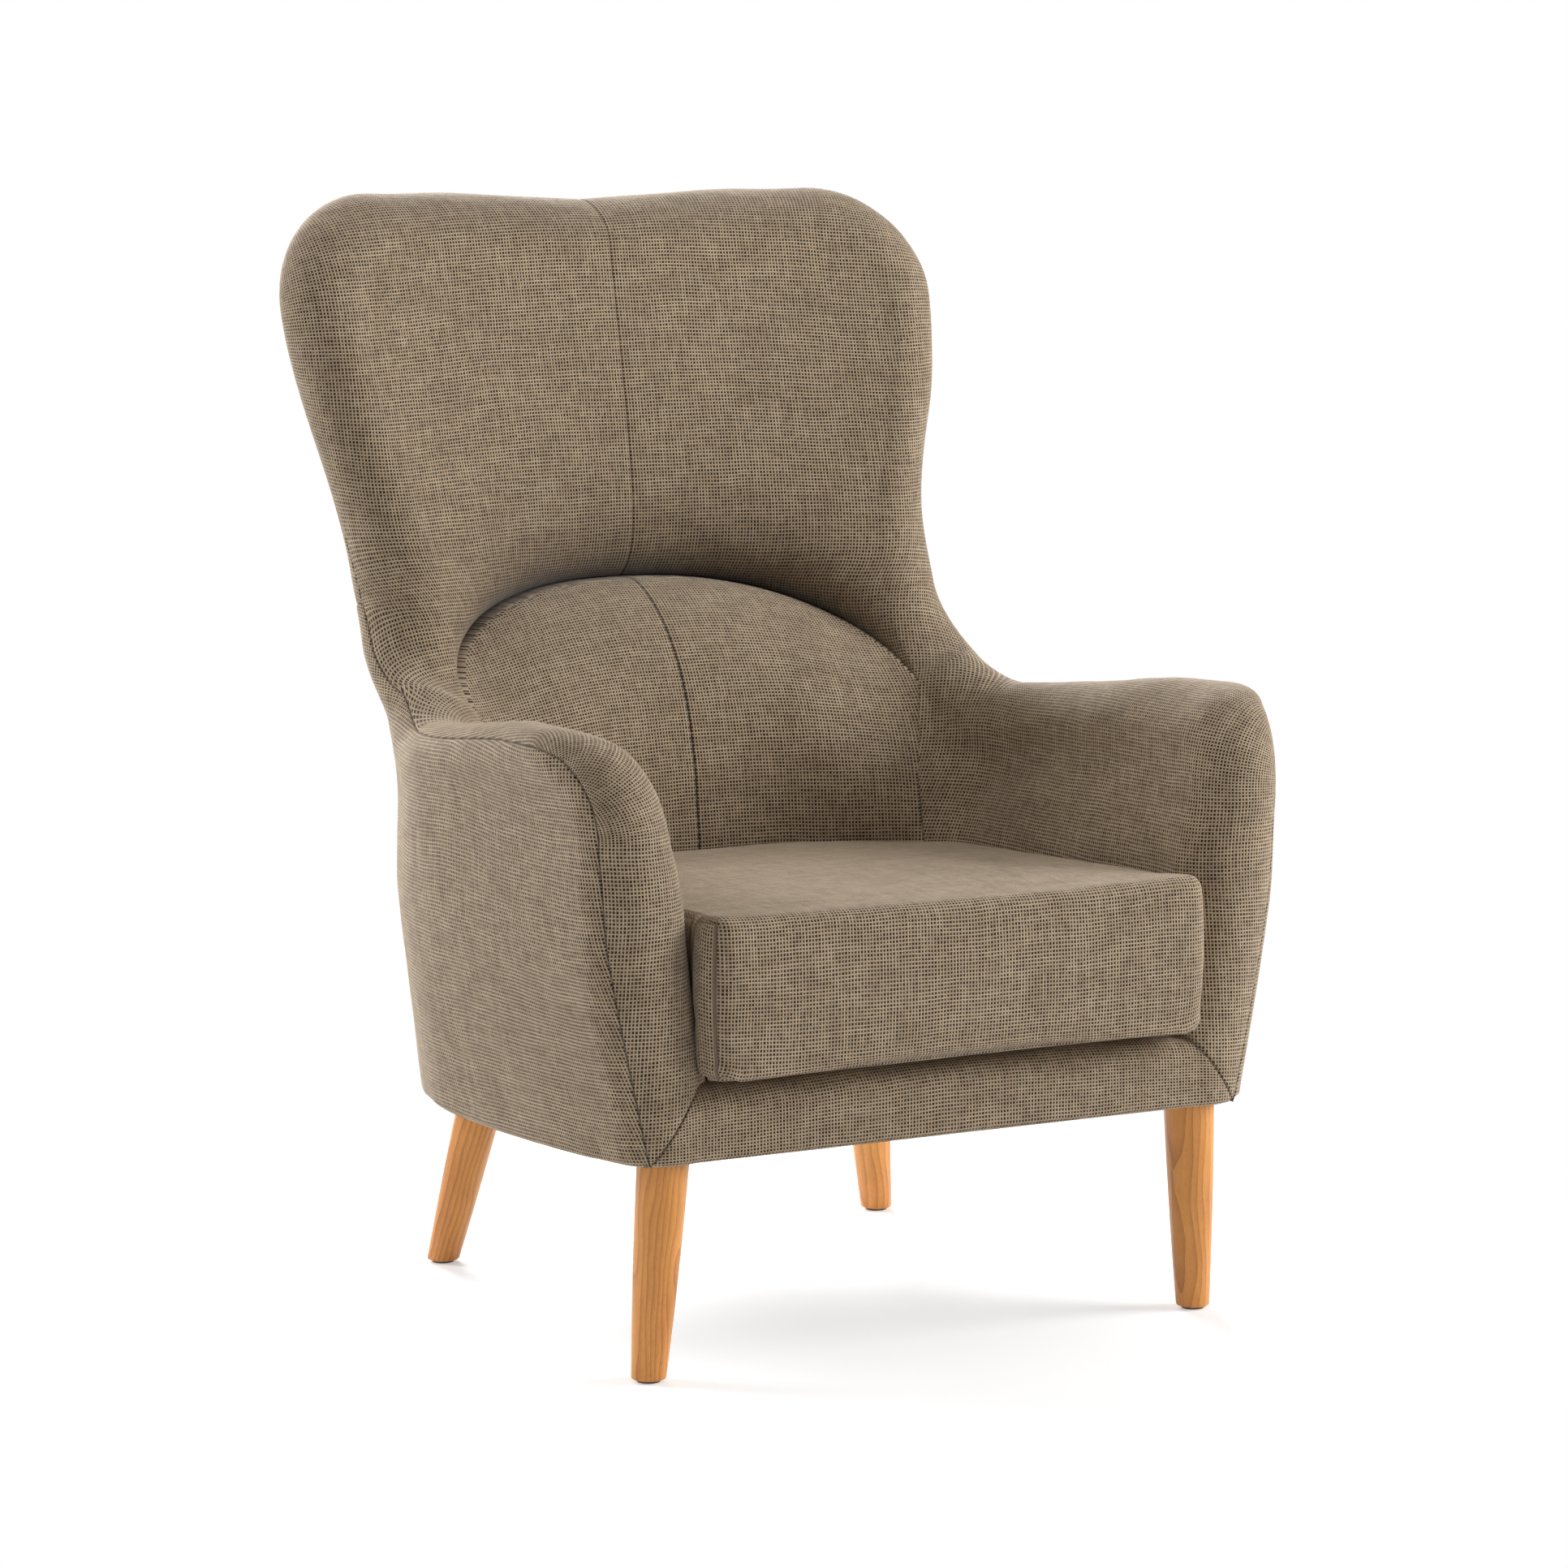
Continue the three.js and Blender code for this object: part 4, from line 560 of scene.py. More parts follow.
class Spots:
    """Places on the padded wall's surface: on a face, or turned round the rolled edge."""

    def __init__(self, place, z, turn, outward, side, part):
        self.place, self.z = place, z
        self.turn, self.outward, self.side, self.part = turn, outward, side, part
        self.middle, self.normal = wall_middle(place, z)
        self.padding = padding_at(place, z, part)

    def shifted(self, step):
        """The same spots, a step further along the wall."""
        return Spots(self.place + step, self.z, self.turn, self.outward, self.side, self.part)

    def skin(self, depth=0.0):
        """Points on the cover, or below it by a depth."""
        depth = np.broadcast_to(np.asarray(depth, float), self.place.shape)
        flat = np.where(self.side < 0, depth - self.padding, ROLL - depth)
        half = (self.padding + ROLL) / 2
        rolled = (ROLL - self.padding) / 2 - np.cos(self.turn) * (half - depth)
        across = np.where(self.side == 0, rolled, flat)
        out = np.where(self.side == 0, np.sin(self.turn) * (ROLL - depth), 0.0)
        return self.middle + self.normal * across[..., None] + self.outward * out[..., None]

    def core(self, gap=5.0):
        """Points on the ply core, grown by a gap."""
        reach = 9.0 + gap
        across = np.where(self.side == 0, 22 - np.cos(self.turn) * reach, 22 + self.side * reach)
        out = np.where(self.side == 0, np.sin(self.turn) * reach, 0.0)
        return self.middle + self.normal * across[..., None] + self.outward * out[..., None]


def runs_along(points, axis):
    """Length walked over a grid of points along one axis."""
    steps = np.linalg.norm(np.diff(points, axis=axis), axis=-1)
    zero = np.zeros_like(np.take(steps, [0], axis=axis))
    return np.concatenate([zero, np.cumsum(steps, axis=axis)], axis=axis)


def spread(length, step, tight_start=True, tight_end=True):
    """Shares from 0 to 1 along a length, close together at a sewn end and even in between."""
    tight = np.array([0.0, 0.35, 0.8, 1.4, 2.2, 3.4, 5.2, 8.0])
    tight = tight[tight < length / 3]
    first = tight if tight_start else np.array([0.0])
    last = length - (tight[::-1] if tight_end else np.array([0.0]))
    count = max(2, int(round((last[0] - first[-1]) / step)))
    return np.concatenate([first, np.linspace(first[-1], last[0], count + 1)[1:-1], last]) / length


def ripple(points, size, seed):
    """Slow unevenness of stuffing: a sum of waves that run different ways, between about -1 and 1."""
    ways = np.random.default_rng(seed).normal(size=(7, 3))
    ways /= np.linalg.norm(ways, axis=1, keepdims=True)
    sizes = size * np.linspace(0.6, 1.7, 7)
    phases = np.random.default_rng(seed + 1).uniform(0, 2 * math.pi, 7)
    return sum(np.sin(points @ way * 2 * math.pi / s + p) for way, s, p in zip(ways, sizes, phases)) / 3.2


def sewn(distance, along, seed, deep=1.1):
    """Depth by which a cover sinks towards a seam: a turned-in edge, a drawn-down strip and small puckers."""
    pucker = 0.14 * np.sin(along / 2.3 + 1.4 * np.sin(along / 9.0 + seed)) * np.exp(-distance / 7)
    turned_in = deep * np.exp(-((distance / 0.9) ** 2))
    return turned_in + 0.9 * np.exp(-distance / 9) + np.where(distance < 30, pucker, 0)


def eased_foot(z, radius=6.0):
    """Depth that rounds the body's lowest edge."""
    left = np.clip(radius - (z - FLOOR_TO_BODY), 0, radius)
    return radius - np.sqrt(np.clip(radius**2 - left**2, 0, None))


def cloth_map(points_at, places, levels, origin):
    """Tables of warp and weft lengths over one face of the wall, counted from a place and a height."""
    grid = points_at(*np.meshgrid(places, levels, indexing="ij"))
    across, up = runs_along(grid, 0), runs_along(grid, 1)
    i0, j0 = np.abs(places - origin[0]).argmin(), np.abs(levels - origin[1]).argmin()
    return places, levels, across - across[i0:i0 + 1], up - up[:, j0:j0 + 1]


def from_map(chart, place, z):
    """Weave place for spots on a face."""
    places, levels, across, up = chart
    i = np.clip((place - places[0]) / (places[1] - places[0]), 0, len(places) - 1.001)
    j = np.clip((z - levels[0]) / (levels[1] - levels[0]), 0, len(levels) - 1.001)
    a, b = i.astype(int), j.astype(int)
    u, v = i - a, j - b
    out = []
    for table in (across, up):
        low = table[a, b] * (1 - v) + table[a, b + 1] * v
        high = table[a + 1, b] * (1 - v) + table[a + 1, b + 1] * v
        out.append(low * (1 - u) + high * u)
    return np.stack(out, -1)


def face_weave(part, side, origin):
    """Cloth laid on one face of the wall, with the weft level at the origin's height."""

    def face(place, z):
        point, normal = wall_middle(place, z)
        return point + normal * (ROLL if side > 0 else -padding_at(place, z, part)[..., None])

    return cloth_map(face, np.arange(0.0, 1000.0, 8.0), np.arange(201.0, 1080.0, 8.0), origin)


def wall_rings(runs, foot, side, face_shares, roll_turns, part):
    """Grid of spots: each ring runs from its foot over a face to the edge line, and on round the roll."""
    edge_p, edge_h, outward = on_edge(runs)
    foot_p, foot_h = foot(runs)
    face_p = mixed(foot_p[:, None], edge_p[:, None], face_shares[None])
    face_h = mixed(foot_h[:, None], edge_h[:, None], face_shares[None])
    turns = roll_turns if roll_turns.ndim == 2 else np.repeat(roll_turns[None], len(runs), 0)
    roll_p, roll_h = (np.repeat(v[:, None], turns.shape[1], 1) for v in (edge_p, edge_h))
    place, z = np.concatenate([face_p, roll_p], 1), np.concatenate([face_h, roll_h], 1)
    turn = np.concatenate([np.zeros_like(face_p), turns], 1)
    sides = np.concatenate([np.full(face_p.shape, side), np.zeros(turns.shape)], 1)
    return Spots(place, z, turn, np.repeat(outward[:, None], place.shape[1], 1), sides, part)


def ring_weave(spots, chart, face_columns, points):
    """Weave places over a grid of rings: from the chart on the face, and straight on over the roll."""
    weave = from_map(chart, spots.place, spots.z)
    along = wall_middle(spots.place[:, -1] + SMALL_STEP, spots.z[:, -1])[0] - spots.middle[:, -1]
    along /= np.linalg.norm(along, axis=-1, keepdims=True)
    heading = np.stack([(spots.outward[:, -1] * along).sum(-1), spots.outward[:, -1][:, 2]], -1)
    heading /= np.linalg.norm(heading, axis=-1, keepdims=True)
    start = weave[:, face_columns - 1:face_columns]
    over = runs_along(points[:, face_columns - 1:], 1)[:, 1:]
    weave[:, face_columns:] = start + heading[:, None] * over[..., None]
    return weave


def grid_faces(rows, columns, offset=0, turned_over=False):
    a = (np.arange(rows - 1)[:, None] * columns + np.arange(columns - 1)[None]).ravel() + offset
    quads = np.stack([a, a + 1, a + columns + 1, a + columns], 1)
    return quads[:, ::-1] if turned_over else quads


def ring_faces(rings, count):
    """Faces of a closed form made of rings, with a cap on the first and on the last."""
    quads = []
    for i in range(rings - 1):
        for k in range(count):
            a, b = i * count + k, i * count + (k + 1) % count
            quads.append((a, b, b + count, a + count))
    return quads + [list(range(count)), list(range((rings - 1) * count, rings * count))]


def both_sides(half):
    """A half outline from the rear centre to the front centre, closed on the other side."""
    return np.concatenate([half, half[-2:0:-1] * np.array([-1.0, 1])])


def in_frame(points):
    """Points moved from the fit's origin to the frame's."""
    return points + np.array([0, REAR_SHIFT, 0])


def padded_piece(name, grids, finish, seams):
    """Closed piece of upholstery. Each grid is (cover points, inner points, weave places, seam places)."""
    points, faces, weaves, sewing = [], [], [], []
    count = 0
    for cover, inner, weave, seam in grids:
        rows, columns = cover.shape[:2]
        size = rows * columns
        points += [cover.reshape(-1, 3), inner.reshape(-1, 3)]
        weave3 = np.concatenate([weave.reshape(-1, 2), np.zeros((size, 1))], 1)
        weaves += [weave3, weave3]
        sewing += [seam.reshape(-1, 3), seam.reshape(-1, 3)]
        faces += [grid_faces(rows, columns, count), grid_faces(rows, columns, count + size, True)]
        index = np.arange(size).reshape(rows, columns) + count
        rim = np.concatenate([index[0], index[1:, -1], index[-1, -2::-1], index[-2:0:-1, 0]])
        following = np.roll(rim, -1)
        wall = np.stack([rim, rim + size, following + size, following], 1)
        flat = np.abs(np.concatenate(points)[:, 0])
        if seams == "joined":
            wall = wall[~((flat[wall[:, 0]] < 1e-6) & (flat[wall[:, 3]] < 1e-6))]
        faces.append(wall)
        count += 2 * size
    return piece_from(name, in_frame(np.concatenate(points)), np.concatenate(faces), finish,
                      {"weave": np.concatenate(weaves), "sewing": np.concatenate(sewing)})


def other_hand(grid):
    """The same grid on the left of the chair; its weave runs on across the centre."""
    cover, inner, weave, seam = grid
    flip = np.array([-1.0, 1, 1])
    return cover[::-1] * flip, inner[::-1] * flip, weave[::-1] * np.array([-1.0, 1]), seam[::-1]


def dress_piece(made, fill, *nodes):
    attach(made, "chair")
    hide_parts(*nodes)


# Upholstery cloth
# One cloth covers the whole chair: a basket weave of beige and taupe slub yarns, with a dark brown yarn that
# shows as a small dot in every gap. Matt and slightly hairy, its threads 3.4 mm by 3.6 mm apart.
basket, basket_in, basket_out = new_group(
    "basket_weave",
    [("Weave", "v", None), ("Sewing", "v", None), ("Light Yarn", "c", None), ("Taupe Yarn", "c", None),
     ("Dark Yarn", "c", None), ("Pitch Across", "f", 3.4), ("Pitch Up", "f", 3.63), ("Slant", "f", 0.0)],
    [("Color", "c"), ("Roughness", "f"), ("Height", "f")],
)
weave_xyz = basket.nodes.new("ShaderNodeSeparateXYZ")
drift = noise(basket, scaled(basket, basket_in.outputs["Weave"], (0.011, 0.011, 0.011)), 1.0, 1.0)
waver_place = scaled(basket, basket_in.outputs["Weave"], (0.10, 0.10, 0.10), (31.0, 7.0, 0.0))
waver = noise(basket, waver_place, 1.0, 1.0)
link(basket, basket_in.outputs["Weave"], weave_xyz.inputs[0])
across_mm = sums(basket, "MULTIPLY_ADD", waver, 0.5, weave_xyz.outputs["X"])
wavering_up = sums(basket, "MULTIPLY_ADD", waver, 0.4, weave_xyz.outputs["Y"])
up_mm = sums(basket, "MULTIPLY_ADD", drift, 5.0, wavering_up)
cell_u = sums(basket, "DIVIDE", across_mm, basket_in.outputs["Pitch Across"])
cell_v = sums(basket, "DIVIDE", up_mm, basket_in.outputs["Pitch Up"])
column, row = sums(basket, "FLOOR", cell_u), sums(basket, "FLOOR", cell_v)
in_u = sums(basket, "ABSOLUTE", sums(basket, "SUBTRACT", sums(basket, "FRACT", cell_u), 0.5))
in_v = sums(basket, "ABSOLUTE", sums(basket, "SUBTRACT", sums(basket, "FRACT", cell_v), 0.5))


def yarn_slub(tree, along, number, stretch, offset):
    """Thick and thin stretches of one yarn, different in each yarn."""
    joined = tree.nodes.new("ShaderNodeCombineXYZ")
    plug(tree, joined.inputs[0], sums(tree, "MULTIPLY", along, stretch))
    plug(tree, joined.inputs[1], sums(tree, "MULTIPLY_ADD", number, 3.77, offset))
    return noise(tree, joined.outputs[0], 1.0, 2.0, 0.6)


weft = yarn_slub(basket, cell_u, row, 0.07, 3.0)
warp = yarn_slub(basket, cell_v, column, 0.09, 91.0)
cell_noise = basket.nodes.new("ShaderNodeTexWhiteNoise")
cell_noise.noise_dimensions = "2D"
cell_place = basket.nodes.new("ShaderNodeCombineXYZ")
plug(basket, cell_place.inputs[0], column)
plug(basket, cell_place.inputs[1], row)
link(basket, cell_place.outputs[0], cell_noise.inputs["Vector"])
dot_size = sums(basket, "MULTIPLY_ADD", cell_noise.outputs["Value"], 0.06, 0.22)
dot_u = between(basket, in_u, dot_size, sums(basket, "ADD", dot_size, 0.10), 1.0, 0.0)
dot_v = between(basket, in_v, dot_size, sums(basket, "ADD", dot_size, 0.10), 1.0, 0.0)
dot = sums(basket, "MULTIPLY", dot_u, dot_v)
weft_share = between(basket, sums(basket, "SUBTRACT", in_v, in_u), -0.12, 0.12)
yarn_tone = sums(basket, "ADD", sums(basket, "MULTIPLY", weft, weft_share),
                 sums(basket, "MULTIPLY", warp, sums(basket, "SUBTRACT", 1.0, weft_share)))
yarn_light = between(basket, yarn_tone, 0.3, 0.7)
fuzz = noise(basket, scaled(basket, basket_in.outputs["Weave"], (1.7, 1.7, 1.7)), 1.0, 2.0, 0.7)
yarn = blended(basket, yarn_light, basket_in.outputs["Taupe Yarn"], basket_in.outputs["Light Yarn"])
yarn = blended(basket, sums(basket, "MULTIPLY_ADD", fuzz, 0.5, 0.0), yarn, basket_in.outputs["Taupe Yarn"])
dot_depth = sums(basket, "MULTIPLY_ADD", cell_noise.outputs["Value"], 0.12, 0.88)
dot_strength = sums(basket, "MULTIPLY", dot, dot_depth)
hidden = between(basket, basket_in.outputs["Slant"], 0.6, 1.0)
dot_strength = sums(basket, "MULTIPLY", dot_strength, sums(basket, "MULTIPLY_ADD", hidden, -0.45, 1.0))
yarn = blended(basket, sums(basket, "MULTIPLY", hidden, 0.12), yarn, basket_in.outputs["Light Yarn"])
cloth = blended(basket, dot_strength, yarn, basket_in.outputs["Dark Yarn"])
patch = noise(basket, scaled(basket, basket_in.outputs["Weave"], (0.016, 0.03, 0.02)), 1.0, 3.0)
patch_share = between(basket, patch, 0.3, 0.7, 0.0, 0.16)
cloth = blended(basket, patch_share, cloth, blended(basket, 1.0, cloth, srgb(190, 176, 158), "MULTIPLY"))
sewing_xyz = basket.nodes.new("ShaderNodeSeparateXYZ")
link(basket, basket_in.outputs["Sewing"], sewing_xyz.inputs[0])
# Painted shade in each seam's groove: the cloth within about a millimetre of a seam is darkened.
seam_groove_shade = between(basket, sewing_xyz.outputs["X"], 0.2, 1.3, 0.45, 0.0)
cloth = blended(basket, seam_groove_shade, cloth, blended(basket, 1.0, cloth, srgb(96, 84, 74), "MULTIPLY"))
stitch = between(basket, sums(basket, "PINGPONG", sewing_xyz.outputs["Y"], 5.5), 1.3, 2.0)
stitch = sums(basket, "MULTIPLY", stitch, between(basket, sewing_xyz.outputs["X"], 1.2, 1.9, 1.0, 0.0))
stitch = sums(basket, "MULTIPLY", stitch, sums(basket, "MAXIMUM", sewing_xyz.outputs["Z"], 0.0))
cloth = blended(basket, stitch, cloth, srgb(38, 30, 25))
# Painted shade: where the sewing's third value is negative, the cloth is darkened towards dark brown. This is
# laid on the upper back above the lumbar crease in place of the shade there.
painted_crease_shade = sums(basket, "MAXIMUM", sums(basket, "MULTIPLY", sewing_xyz.outputs["Z"], -0.9), 0.0)
cloth = blended(basket, painted_crease_shade, cloth, blended(basket, 1.0, cloth, srgb(92, 80, 68), "MULTIPLY"))
link(basket, cloth, basket_out.inputs["Color"])
link(basket, between(basket, fuzz, 0.2, 0.8, 0.82, 0.97), basket_out.inputs["Roughness"])
round_u, round_v = (sums(basket, "MULTIPLY", v, v) for v in (in_u, in_v))
rounding = sums(basket, "MULTIPLY", sums(basket, "ADD", round_u, round_v), 1.6)
thread = sums(basket, "ADD", rounding, sums(basket, "MULTIPLY", fuzz, 0.35))
thread = sums(basket, "MULTIPLY_ADD", yarn_tone, 0.5, thread)
relief = sums(basket, "SUBTRACT", thread, sums(basket, "MULTIPLY", dot, 0.6))
link(basket, relief, basket_out.inputs["Height"])


def woven(name, light, taupe, dark):
    """Cloth finish with its own yarn colours."""
    made, tree, shader = finish_of(name, 0.9, Sheen_Weight=0.18, Sheen_Roughness=0.6, Specular_IOR_Level=0.25)
    node = tree.nodes.new("ShaderNodeGroup")
    node.node_tree = basket
    link(tree, place_read(tree, "weave"), node.inputs["Weave"])
    link(tree, place_read(tree, "sewing"), node.inputs["Sewing"])
    facing = tree.nodes.new("ShaderNodeLayerWeight")
    facing.inputs["Blend"].default_value = 0.5
    link(tree, facing.outputs["Facing"], node.inputs["Slant"])
    for label, value in (("Light Yarn", light), ("Taupe Yarn", taupe), ("Dark Yarn", dark)):
        node.inputs[label].default_value = value
    link(tree, node.outputs["Color"], shader.inputs["Base Color"])
    link(tree, node.outputs["Roughness"], shader.inputs["Roughness"])
    raised(tree, node.outputs["Height"], 0.7, 0.0007, shader)
    return made


chair_cloth = woven("taupe_basket_cloth", srgb(220, 197, 164), srgb(164, 140, 112), srgb(28, 19, 13))


def uneven(points, seed):
    """Foam under cloth is never quite even: broad swells and finer ones."""
    return 1.1 * ripple(points, 190.0, seed) + 0.35 * ripple(points, 60.0, seed + 5)


def sewing_of(distances, along, stitched=0.0):
    """For the cloth's finish: distance to the nearest seam, length along it, stitched (1) or painted shade
    (-1).
    """
    nearest = np.minimum.reduce(distances)
    return np.stack([np.minimum(nearest, 60.0), np.broadcast_to(along, nearest.shape),
                     np.broadcast_to(stitched, nearest.shape)], -1)


FACE_STEP = 5.5
FAR = 90.0
DEEPEST_SEAM = 4.0


def seam_gap(place):
    """Step that keeps an arm's cover clear of the cover that it meets at the back."""
    return 0.45 * (1 - soft_step((place - LUMBAR_HALF) / 170))


# Inside of the arms
# Foam over the arm panel under one piece of cloth that runs from the seat over the rolled front and crest
# to a seam outside. Low in front it is tucked under the front panel along a sloping mitre.
MITRE_TOP_Z, MITRE_TOP_X, PANEL_TOP = 272.0, 272.0, 279.35
DECK_LINE = 279.0


def front_roll_x(z, turn):
    """X of the skin round the arm's upright front."""
    place = place_at_y(FRONT_EDGE_Y, z)
    point, normal = wall_middle(place, z)
    padding = padding_at(place, z, "either")
    across = (ROLL - padding) / 2 - np.cos(turn) * (padding + ROLL) / 2
    return point[..., 0] + normal[..., 0] * across + normal[..., 1] * np.sin(turn) * ROLL


mitre_foot_x = float(front_roll_x(np.array(FLOOR_TO_BODY), SEAM_TURN))


def mitre_x(z):
    return mixed(MITRE_TOP_X, mitre_foot_x, (MITRE_TOP_Z - z) / (MITRE_TOP_Z - FLOOR_TO_BODY))


def turn_at_x(x, z):
    """How far round the arm's front the skin reaches a given X."""
    low, high = np.zeros_like(x), np.full_like(x, math.pi)
    for _ in range(22):
        middle = (low + high) / 2
        nearer = front_roll_x(z, middle) < x
        low, high = np.where(nearer, middle, low), np.where(nearer, high, middle)
    return low


def arm_foot(runs, lowest, rear_place, last_run):
    """Foot of each ring: straight back from the arm's front, then spread along the foot line to the rear."""
    z = np.minimum(np.interp(runs, edge_run, edge_z), lowest)
    front = place_at_y(FRONT_EDGE_Y + 40, z)
    start = lowest - FLOOR_TO_BODY
    share = np.clip((runs - start) / (last_run - start), 0, 1)
    return mixed(front, rear_place, share), z


def inside_arm():
    low_run = PANEL_TOP - FLOOR_TO_BODY
    near_mitre = low_run + np.array([-3.0, -1.6, -0.7, 0.0, 0.4, 0.9, 1.6, 2.6, 4.2, 7.0])
    left = run_meeting - low_run - 7.0
    upper_runs = low_run + 7.0 + left * spread(left, FACE_STEP, False, True)[1:]
    runs = np.concatenate([np.linspace(0, low_run - 5, 20), near_mitre, upper_runs])
    height = np.interp(runs, edge_run, edge_z)
    level = np.minimum(height, PANEL_TOP)
    mitre_turn = np.minimum(turn_at_x(mitre_x(level), level), math.radians(137))
    inner, outer = np.linspace(0, 1, 11)[1:], spread(100.0, 4.0)[1:]
    turns = mixed(mitre_turn[:, None], seam_turn(runs)[:, None], outer[None])
    turns = np.concatenate([mitre_turn[:, None] * inner[None], turns], 1)
    faces = spread(220.0, FACE_STEP, True, False)

    def foot(runs):
        return arm_foot(runs, DECK_LINE, LUMBAR_HALF, run_meeting)

    spots = wall_rings(runs, foot, -1.0, faces, turns, "either")
    spots = spots.shifted(seam_gap(spots.place))
    skin = spots.skin()
    across, rise = runs_along(skin, 1), runs_along(skin, 0)
    to_seam, to_back = across[:, -1:] - across, rise[-1:] - rise
    mitre_column = len(faces) + len(inner) - 1
    past_mitre = across - across[:, mitre_column:mitre_column + 1]
    below = PANEL_TOP - spots.z
    tucked = 7.5 * soft_step(below / 2.5) * soft_step(-past_mitre / 3.0)
    to_mitre = np.where(below > 0, np.maximum(past_mitre, 0), np.hypot(below, np.maximum(past_mitre, 0)))
    over_neck = soft_step(spots.turn * (spots.side == 0) / 0.9)
    to_back = to_back + 40 * np.maximum(over_neck, soft_step((spots.z - meeting_z + 110) / 90))
    depth = sewn(to_seam, rise, 1) + sewn(to_back, across, 2) + sewn(to_mitre, rise, 3) * (tucked < 0.01)
    depth = np.minimum(depth, DEEPEST_SEAM) + tucked + eased_foot(spots.z) * 0.8
    depth = depth + uneven(skin, 11) * soft_step(to_seam / 40)
    chart = face_weave("either", -1, (place_at_y(120.0, 450.0), 450.0))
    weave = ring_weave(spots, chart, len(faces), skin)
    sewing = sewing_of([to_seam, to_back, to_mitre + 40 * (tucked > 0.01)], rise)
    return spots.skin(depth), spots.core(), weave, sewing


arm_grid = inside_arm()
for hand, grid in (("right", arm_grid), ("left", other_hand(arm_grid))):
    arm = padded_piece(f"inside_arm_{hand}", [grid], chair_cloth, "sewn")
    dress_piece(arm, 0.95, f"inside_arm_cover_{hand}", f"arm_foam_{hand}")

# Lumbar roll
# A thick foam roll across the small of the back, its cover in two halves with a stitched centre seam, sewn
# to the arms at the sides and to the upper back along an arched crease.


def lumbar_half():
    columns = spread(LUMBAR_HALF, FACE_STEP)
    rows = spread(390.0, FACE_STEP)
    share_p, share_z = np.meshgrid(columns, rows, indexing="ij")
    top_place = meeting_place * share_p
    place = mixed(LUMBAR_HALF * share_p, top_place, share_z)
    z = mixed(DECK_LINE, arch_height(top_place), share_z)
    place = place * (1 - 0.0012) + 0.2
    spots = Spots(place, z, np.zeros_like(z), np.zeros(z.shape + (3,)), np.full(z.shape, -1.0), "lumbar")
    skin = spots.skin()
    across, rise = runs_along(skin, 0), runs_along(skin, 1)
    to_arm = across[-1:] - across + 40 * soft_step((share_z - 0.72) / 0.25)
    to_crease = rise[:, -1:] - rise + 40 * soft_step((share_p - 0.7) / 0.25)
    depth = sewn(across, rise, 4) + sewn(to_arm, rise, 5) + sewn(to_crease, across, 6)
    pulls = np.exp(-((to_arm / 70) ** 2)) * np.sin(rise / 17.0 + across / 60) * 0.5
    depth = np.minimum(depth, DEEPEST_SEAM) + uneven(skin, 23) + pulls
    chart = face_weave("lumbar", -1, (0.0, 440.0))
    sewing = sewing_of([across + 0.4, to_arm + 0.4, to_crease], rise, (across < 6.0) * 0.6)
    return spots.skin(depth), spots.core(), from_map(chart, place, z), sewing


lumbar_grid = lumbar_half()
lumbar = padded_piece("lumbar_roll", [lumbar_grid, other_hand(lumbar_grid)], chair_cloth, "sewn")
dress_piece(lumbar, 0.9, "lumbar_cover_right", "lumbar_cover_left", "lumbar_foam")

# Upper back
# Thinner foam from the crease up to the wings, shoulders and top, in two halves with a centre seam. The
# cloth runs round the rolled edge to the seam behind.


def upper_foot(runs):
    """Foot of each ring: along the crease to the centre, then up the centre seam."""
    to_centre = np.clip((runs - run_meeting) / (run_wing - run_meeting), 0, 1)
    place = meeting_place * (1 - to_centre)
    upward = np.clip((runs - run_wing) / (run_top - run_wing), 0, 1)
    on_crease = arch_height(place) + np.minimum(0.9, meeting_place - place)
    return place, np.where(upward > 0, mixed(CREASE_TOP + 0.9, BACK_TOP - ROLL, upward), on_crease)


def upper_back_half():
    runs = run_meeting + (run_top - run_meeting) * spread(run_top - run_meeting, FACE_STEP)
    faces = spread(250.0, FACE_STEP, True, False)
    turns = seam_turn(runs)[:, None] * spread(110.0, 4.0, False, True)[None, 1:]
    spots = wall_rings(runs, upper_foot, -1.0, faces, turns, "upper")
    spots = spots.shifted(0.03 * np.exp(-spots.place / 20))
    skin = spots.skin()
    across, rise = runs_along(skin, 1), runs_along(skin, 0)
    to_seam = across[:, -1:] - across
    to_centre = np.abs(skin[..., 0])
    above = np.where(spots.side < 0, np.maximum(spots.z - arch_height(spots.place), 0) * 1.02, FAR)
    to_crease = above + 40 * soft_step((spots.place / meeting_place - 0.7) / 0.25)
    # Painted shade above the crease: strongest at the crease and fading upward and towards the arch's ends.
    # It goes to the cloth as a negative third sewing value.
    shade = np.exp(-above / 46) * np.clip(1.05 - (spots.place / meeting_place) ** 4, 0, 1)
    depth = sewn(to_seam, rise, 7) + sewn(to_centre, spots.z, 8, 0.9) * (spots.place < 60)
    depth = depth + sewn(to_crease, rise, 9)
    start = rise + 40 * soft_step(spots.turn * (spots.side == 0) / 0.9)
    depth = depth + sewn(start, across, 10) * (np.arange(len(runs)) < 60)[:, None]
    depth = np.minimum(depth, DEEPEST_SEAM) + uneven(skin, 37) * soft_step(to_seam / 50)
    chart = face_weave("upper", -1, (0.0, 705.0))
    weave = ring_weave(spots, chart, len(faces), skin)
    sewing = sewing_of([to_seam, to_centre + 0.7, to_crease, start + FAR * (rise > 60)], rise, -shade)
    return spots.skin(depth), spots.core(), weave, sewing


upper_grid = upper_back_half()
upper_back = padded_piece("upper_back", [upper_grid, other_hand(upper_grid)], chair_cloth, "sewn")
dress_piece(upper_back, 0.9, "upper_back_cover_right", "upper_back_cover_left", "upper_back_foam")

